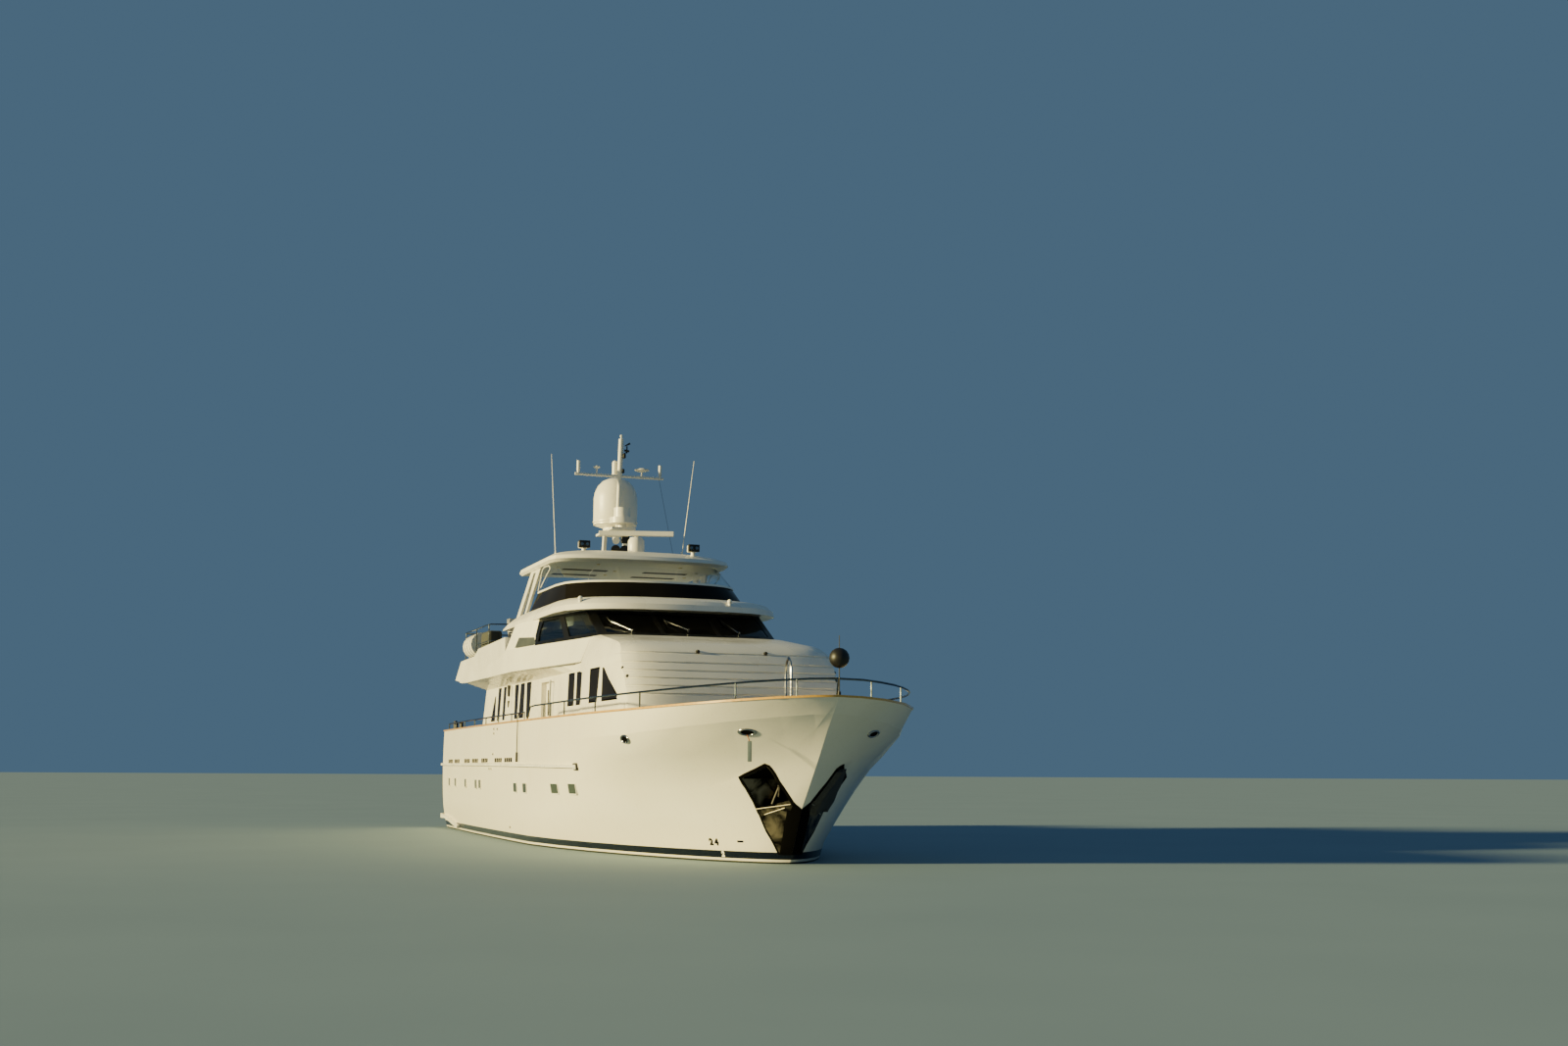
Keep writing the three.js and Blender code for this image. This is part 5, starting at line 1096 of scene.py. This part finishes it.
# Brow lamps and knobs
# Small white navigation lamp housings on the brow, and dark knobs on the front of the deckhouse.
BROW_LAMPS = ((2.93, -2.36, 5.75), (3.63, 1.14, 5.735))
work = bmesh.new()
for x, y, z in BROW_LAMPS:
    rod(work, (x, y, z - 0.02), (x, y, z + 0.05), 0.04, 16)
    ball(work, (x, y, z + 0.085), 0.06)
finish_mesh("brow_lamps", work, [moulded_plastic], sharp=60)
# Small dark fittings on the deckhouse's shoulder
work = bmesh.new()
for side in (-1, 1):
    for x, y, z in ((7.21, 2.43, 3.97), (7.41, 2.38, 3.785)):
        ball(work, (x, side * y, z), 0.035)
    rod(work, (7.26, side * 0.78, 4.33), (7.28, side * 0.78, 4.37), 0.045, 14)
    ball(work, (7.28, side * 0.78, 4.37), 0.04, flat=0.6)
finish_mesh("shoulder_fittings", work, [black_paint], sharp=60)

# Hardtop lining, lamps and searchlights
# Dark vents let into the white lining, small downlights, and two twin searchlights on white stalks.
amber_lamp = patchy("warm_downlight_lens", "#E8D89A", 0.3, 40.0, ("#D9C27A", "#F0E6B8"), (0.25, 0.35))
lining_grey = patchy("grey_lining_vent", "#3A3936", 0.8, 5.0, ("#2B2A28", "#4A4844"), (0.7, 0.9))
LINING_Z = 7.05
# Columns: length along the boat, distance from the centreline
DOWNLIGHTS = [(-1.8, -0.3), (-2.85, -0.3), (-1.55, 1.9), (-2.7, 1.9), (-1.55, -1.9), (-2.7, -1.9),
              (-0.4, -1.1), (-0.4, 1.1)]
work = bmesh.new()
for x in (-1.87, -3.09):
    for side in (-1, 1):
        near, far = sorted((side * 0.5, side * 1.7))
        block(work, (x - 0.13, near, LINING_Z - 0.012), (x + 0.13, far, LINING_Z + 0.01), 0.004)
finish_mesh("hardtop_vents", work, [lining_grey])
work = bmesh.new()
for x, y in DOWNLIGHTS:
    rod(work, (x, y, LINING_Z - 0.02), (x, y, LINING_Z + 0.005), 0.05, 16, 0.045)
finish_mesh("hardtop_downlights", work, [amber_lamp])

lamp_lens = patchy("searchlight_lens", "#5A6A74", 0.1, 30.0, ("#3E4C56", "#8CA0AE"),
                   (0.06, 0.2), metallic=0.6)
# Columns: name, length along the boat, distance from the centreline, height of the foot
SEARCHLIGHTS = (("starboard", -0.80, -1.40, 7.36), ("port", 0.06, 1.30, 7.28))
SEARCHLIGHT_FINISHES = [moulded_plastic, black_paint, lamp_lens]
for side_name, x, y, foot in SEARCHLIGHTS:
    work = bmesh.new()
    rod(work, (x, y, foot), (x, y, foot + 0.05), 0.10, 20)
    rod(work, (x, y, foot + 0.04), (x, y, foot + 0.16), 0.055, 16)
    block(work, (x - 0.17, y - 0.12, foot + 0.15), (x + 0.02, y + 0.12, foot + 0.34), 0.03)
    block(work, (x + 0.01, y - 0.15, foot + 0.15), (x + 0.10, y + 0.15, foot + 0.34), 0.015, slot=1)
    for off in (-0.07, 0.07):
        rod(work, (x + 0.095, y + off, foot + 0.245), (x + 0.112, y + off, foot + 0.245), 0.04, 20, slot=2)
    finish_mesh("searchlight_" + side_name, work, SEARCHLIGHT_FINISHES, sharp=50)

# Mast and aerials
# A white aluminium mast with moulded domes and a turning radar array.
dress("mast", [white_paint], sharp=50)
for name in ("satellite_dome", "small_dome", "radar_pedestal"):
    dress(name, [moulded_plastic], sharp=50)
dress("radar_array", [moulded_plastic], sharp=50, soften=0.03)
work = bmesh.new()
# Seam bands round the satellite dome's foot
for z, radius in ((8.60, 0.618), (8.535, 0.60)):
    rod(work, (-3.56, 0.14, z - 0.018), (-3.56, 0.14, z + 0.018), radius, 40)
# Aerial on top of the pole, mushroom and disc aerials on the yard, and a small dome behind the pole
rod(work, (-2.52, 0, 10.76), (-2.515, 0, 10.83), 0.022)
ball(work, (-2.515, 0, 10.85), 0.04)
rod(work, (-2.64, -0.64, 9.78), (-2.64, -0.64, 9.95), 0.02)
ball(work, (-2.64, -0.64, 9.98), 0.09, flat=0.45)
rod(work, (-2.64, 0.63, 9.78), (-2.64, 0.63, 9.92), 0.022)
ball(work, (-2.64, 0.63, 9.965), 0.20, flat=0.26, sides=24)
rod(work, (-2.78, -0.10, 9.82), (-2.78, -0.10, 10.14), 0.072, 20)
ball(work, (-2.78, -0.10, 10.14), 0.072)
rod(work, (-2.64, -0.10, 9.76), (-2.78, -0.10, 9.82), 0.03, 10)
# Cylinder aerials at the yard's ends
for side in (-1, 1):
    rod(work, (-2.64, side * 1.15, 9.84), (-2.64, side * 1.15, 10.12), 0.046, 16)
# A trumpet horn and the foot of the floodlight below the platform
rod(work, (-2.34, -0.22, 8.02), (-2.02, -0.22, 7.90), 0.02, 16, 0.10)
finish_mesh("mast_aerials", work, [moulded_plastic], sharp=50)
work = bmesh.new()
block(work, (-2.40, 0.0, 7.88), (-2.28, 0.22, 8.08), 0.02)
for y in (-0.22, 0.03):
    rod(work, (-2.35, y, 7.66), (-2.05, y, 7.66), 0.06, 20, 0.13)
    rod(work, (-2.35, y, 7.44), (-2.35, y, 7.66), 0.03, 10)
# Wind vane and black clamps on the pole
rod(work, (-2.53, 0.03, 10.33), (-2.50, 0.16, 10.42), 0.014, 8)
rod(work, (-2.50, 0.16, 10.38), (-2.50, 0.16, 10.58), 0.018, 8)
rod(work, (-2.50, 0.10, 10.58), (-2.50, 0.24, 10.66), 0.012, 8, 0.03)
rod(work, (-2.50, 0.09, 10.46), (-2.50, 0.22, 10.44), 0.03, 8)
block(work, (-2.56, 0.05, 10.24), (-2.44, 0.12, 10.36), 0.015)
block(work, (-2.64, 0.04, 9.84), (-2.52, 0.11, 9.95), 0.015)
finish_mesh("mast_black_fittings", work, [black_paint], sharp=50)

# Whip aerials and the yard's stay
# Thin white glass-fibre whips on the hardtop and a fine taut wire from the yard.
# Columns: foot and head of each whip
WHIPS = (((-1.86, -1.90, 7.36), (-1.92, -2.06, 10.12)), ((-0.62, 1.20, 7.38), (-0.60, 1.50, 9.95)))
work = bmesh.new()
for foot, head in WHIPS:
    rod(work, foot, (foot[0], foot[1], foot[2] + 0.12), 0.03, 10)
    rod(work, foot, head, 0.014, 8, 0.006)
finish_mesh("whip_aerials", work, [moulded_plastic], sharp=60)
work = bmesh.new()
rod(work, (-2.64, 1.12, 9.74), (-0.74, 1.0, 7.40), 0.006, 6)
finish_mesh("yard_stay", work, [stainless], sharp=60)

# Boat deck gear
# A life raft canister with steel straps, gear under a canvas cover on its cradle, a chair and a crane.
dress("life_raft", [moulded_plastic], sharp=50)
work = bmesh.new()
for x in (-8.62, -8.23, -7.84):
    rod(work, (x - 0.02, -2.70, 5.4), (x + 0.02, -2.70, 5.4), 0.356, 32)
finish_mesh("life_raft_bands", work, [stainless], sharp=50)
canvas, shader = surface("grey_canvas", "#43443F", 0.9)
weave = noise(object_place(canvas)[0], 300.0, 2.0)
embossed(shader, weave, ("#35362F", "#4E4F47"), 0.3, 0.002)
COVER_LOW = Vector((-7.05, -2.86, 5.16))
COVER_HIGH = Vector((-5.95, -2.45, 5.70))
COVER_SAG = 0.035
FOLD_DEEP = 0.012
FOLD_STEP = 0.075
work = bmesh.new()
block(work, COVER_LOW, COVER_HIGH, 0.08)
under = [face for face in work.faces if face.calc_center_median().z < COVER_LOW.z + 0.07]
bmesh.ops.delete(work, geom=under, context="FACES")
bmesh.ops.subdivide_edges(work, edges=work.edges[:], cuts=9, use_grid_fill=True)
middle_y = (COVER_LOW.y + COVER_HIGH.y) / 2
for vert in work.verts:
    share = (vert.co.x - COVER_LOW.x) / (COVER_HIGH.x - COVER_LOW.x)
    drop = (COVER_HIGH.z - vert.co.z) / (COVER_HIGH.z - COVER_LOW.z)
    wave = 0.5 + 0.5 * math.sin(2 * math.pi * (vert.co.x + 0.6 * vert.co.y) / FOLD_STEP)
    vert.co.y += (middle_y - vert.co.y) * 2 * FOLD_DEEP * wave * drop / 0.2
    vert.co.z -= COVER_SAG * (1 - drop) * math.sin(3 * math.pi * share) ** 2
bmesh.ops.solidify(work, geom=work.faces[:], thickness=0.002)
face_out(work)
cover = finish_mesh("gear_cover", work, [canvas], sharp=180)
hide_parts("covered_gear")
work = bmesh.new()
for x in (-6.87, -6.13):
    for y in (-2.74, -2.55):
        block(work, (x - 0.03, y, 4.401), (x + 0.03, y + 0.04, 5.2), 0.008)
    block(work, (x - 0.03, -2.80, 5.18), (x + 0.03, -2.50, 5.22), 0.008)
for y, z, radius in ((-2.75, 5.31, 0.085), (-2.57, 5.31, 0.085), (-2.66, 5.50, 0.11)):
    rod(work, (-6.98, y, z), (-6.02, y, z), radius, 20, slot=1)
finish_mesh("gear_cradle", work, [stainless, rubber], sharp=50)
# A folding chair of coated steel tube stands aft of the pilothouse
# Columns: length along the boat and height, of each tube's start and end
CHAIR_TUBES = ((-5.35, 4.42, -5.75, 5.62), (-5.75, 4.42, -5.35, 5.40), (-5.35, 5.40, -5.75, 5.62))
CHAIR_Y = (-2.30, -1.90)
tubing = patchy("black_coated_tubing", "#1A1A1A", 0.4, 20.0, ("#141414", "#262524"), (0.32, 0.5))
work = bmesh.new()
for y in CHAIR_Y:
    for start_x, start_z, end_x, end_z in CHAIR_TUBES:
        rod(work, (start_x, y, start_z), (end_x, y, end_z), 0.016, 10)
for x, z in ((-5.35, 4.42), (-5.75, 4.42), (-5.75, 5.62), (-5.35, 5.40)):
    rod(work, (x, CHAIR_Y[0], z), (x, CHAIR_Y[1], z), 0.016, 10)
finish_mesh("folding_chair", work, [tubing], sharp=50)
dress("crane_post", [white_paint], sharp=50)
dress("crane_boom", [white_paint], soften=0.01)
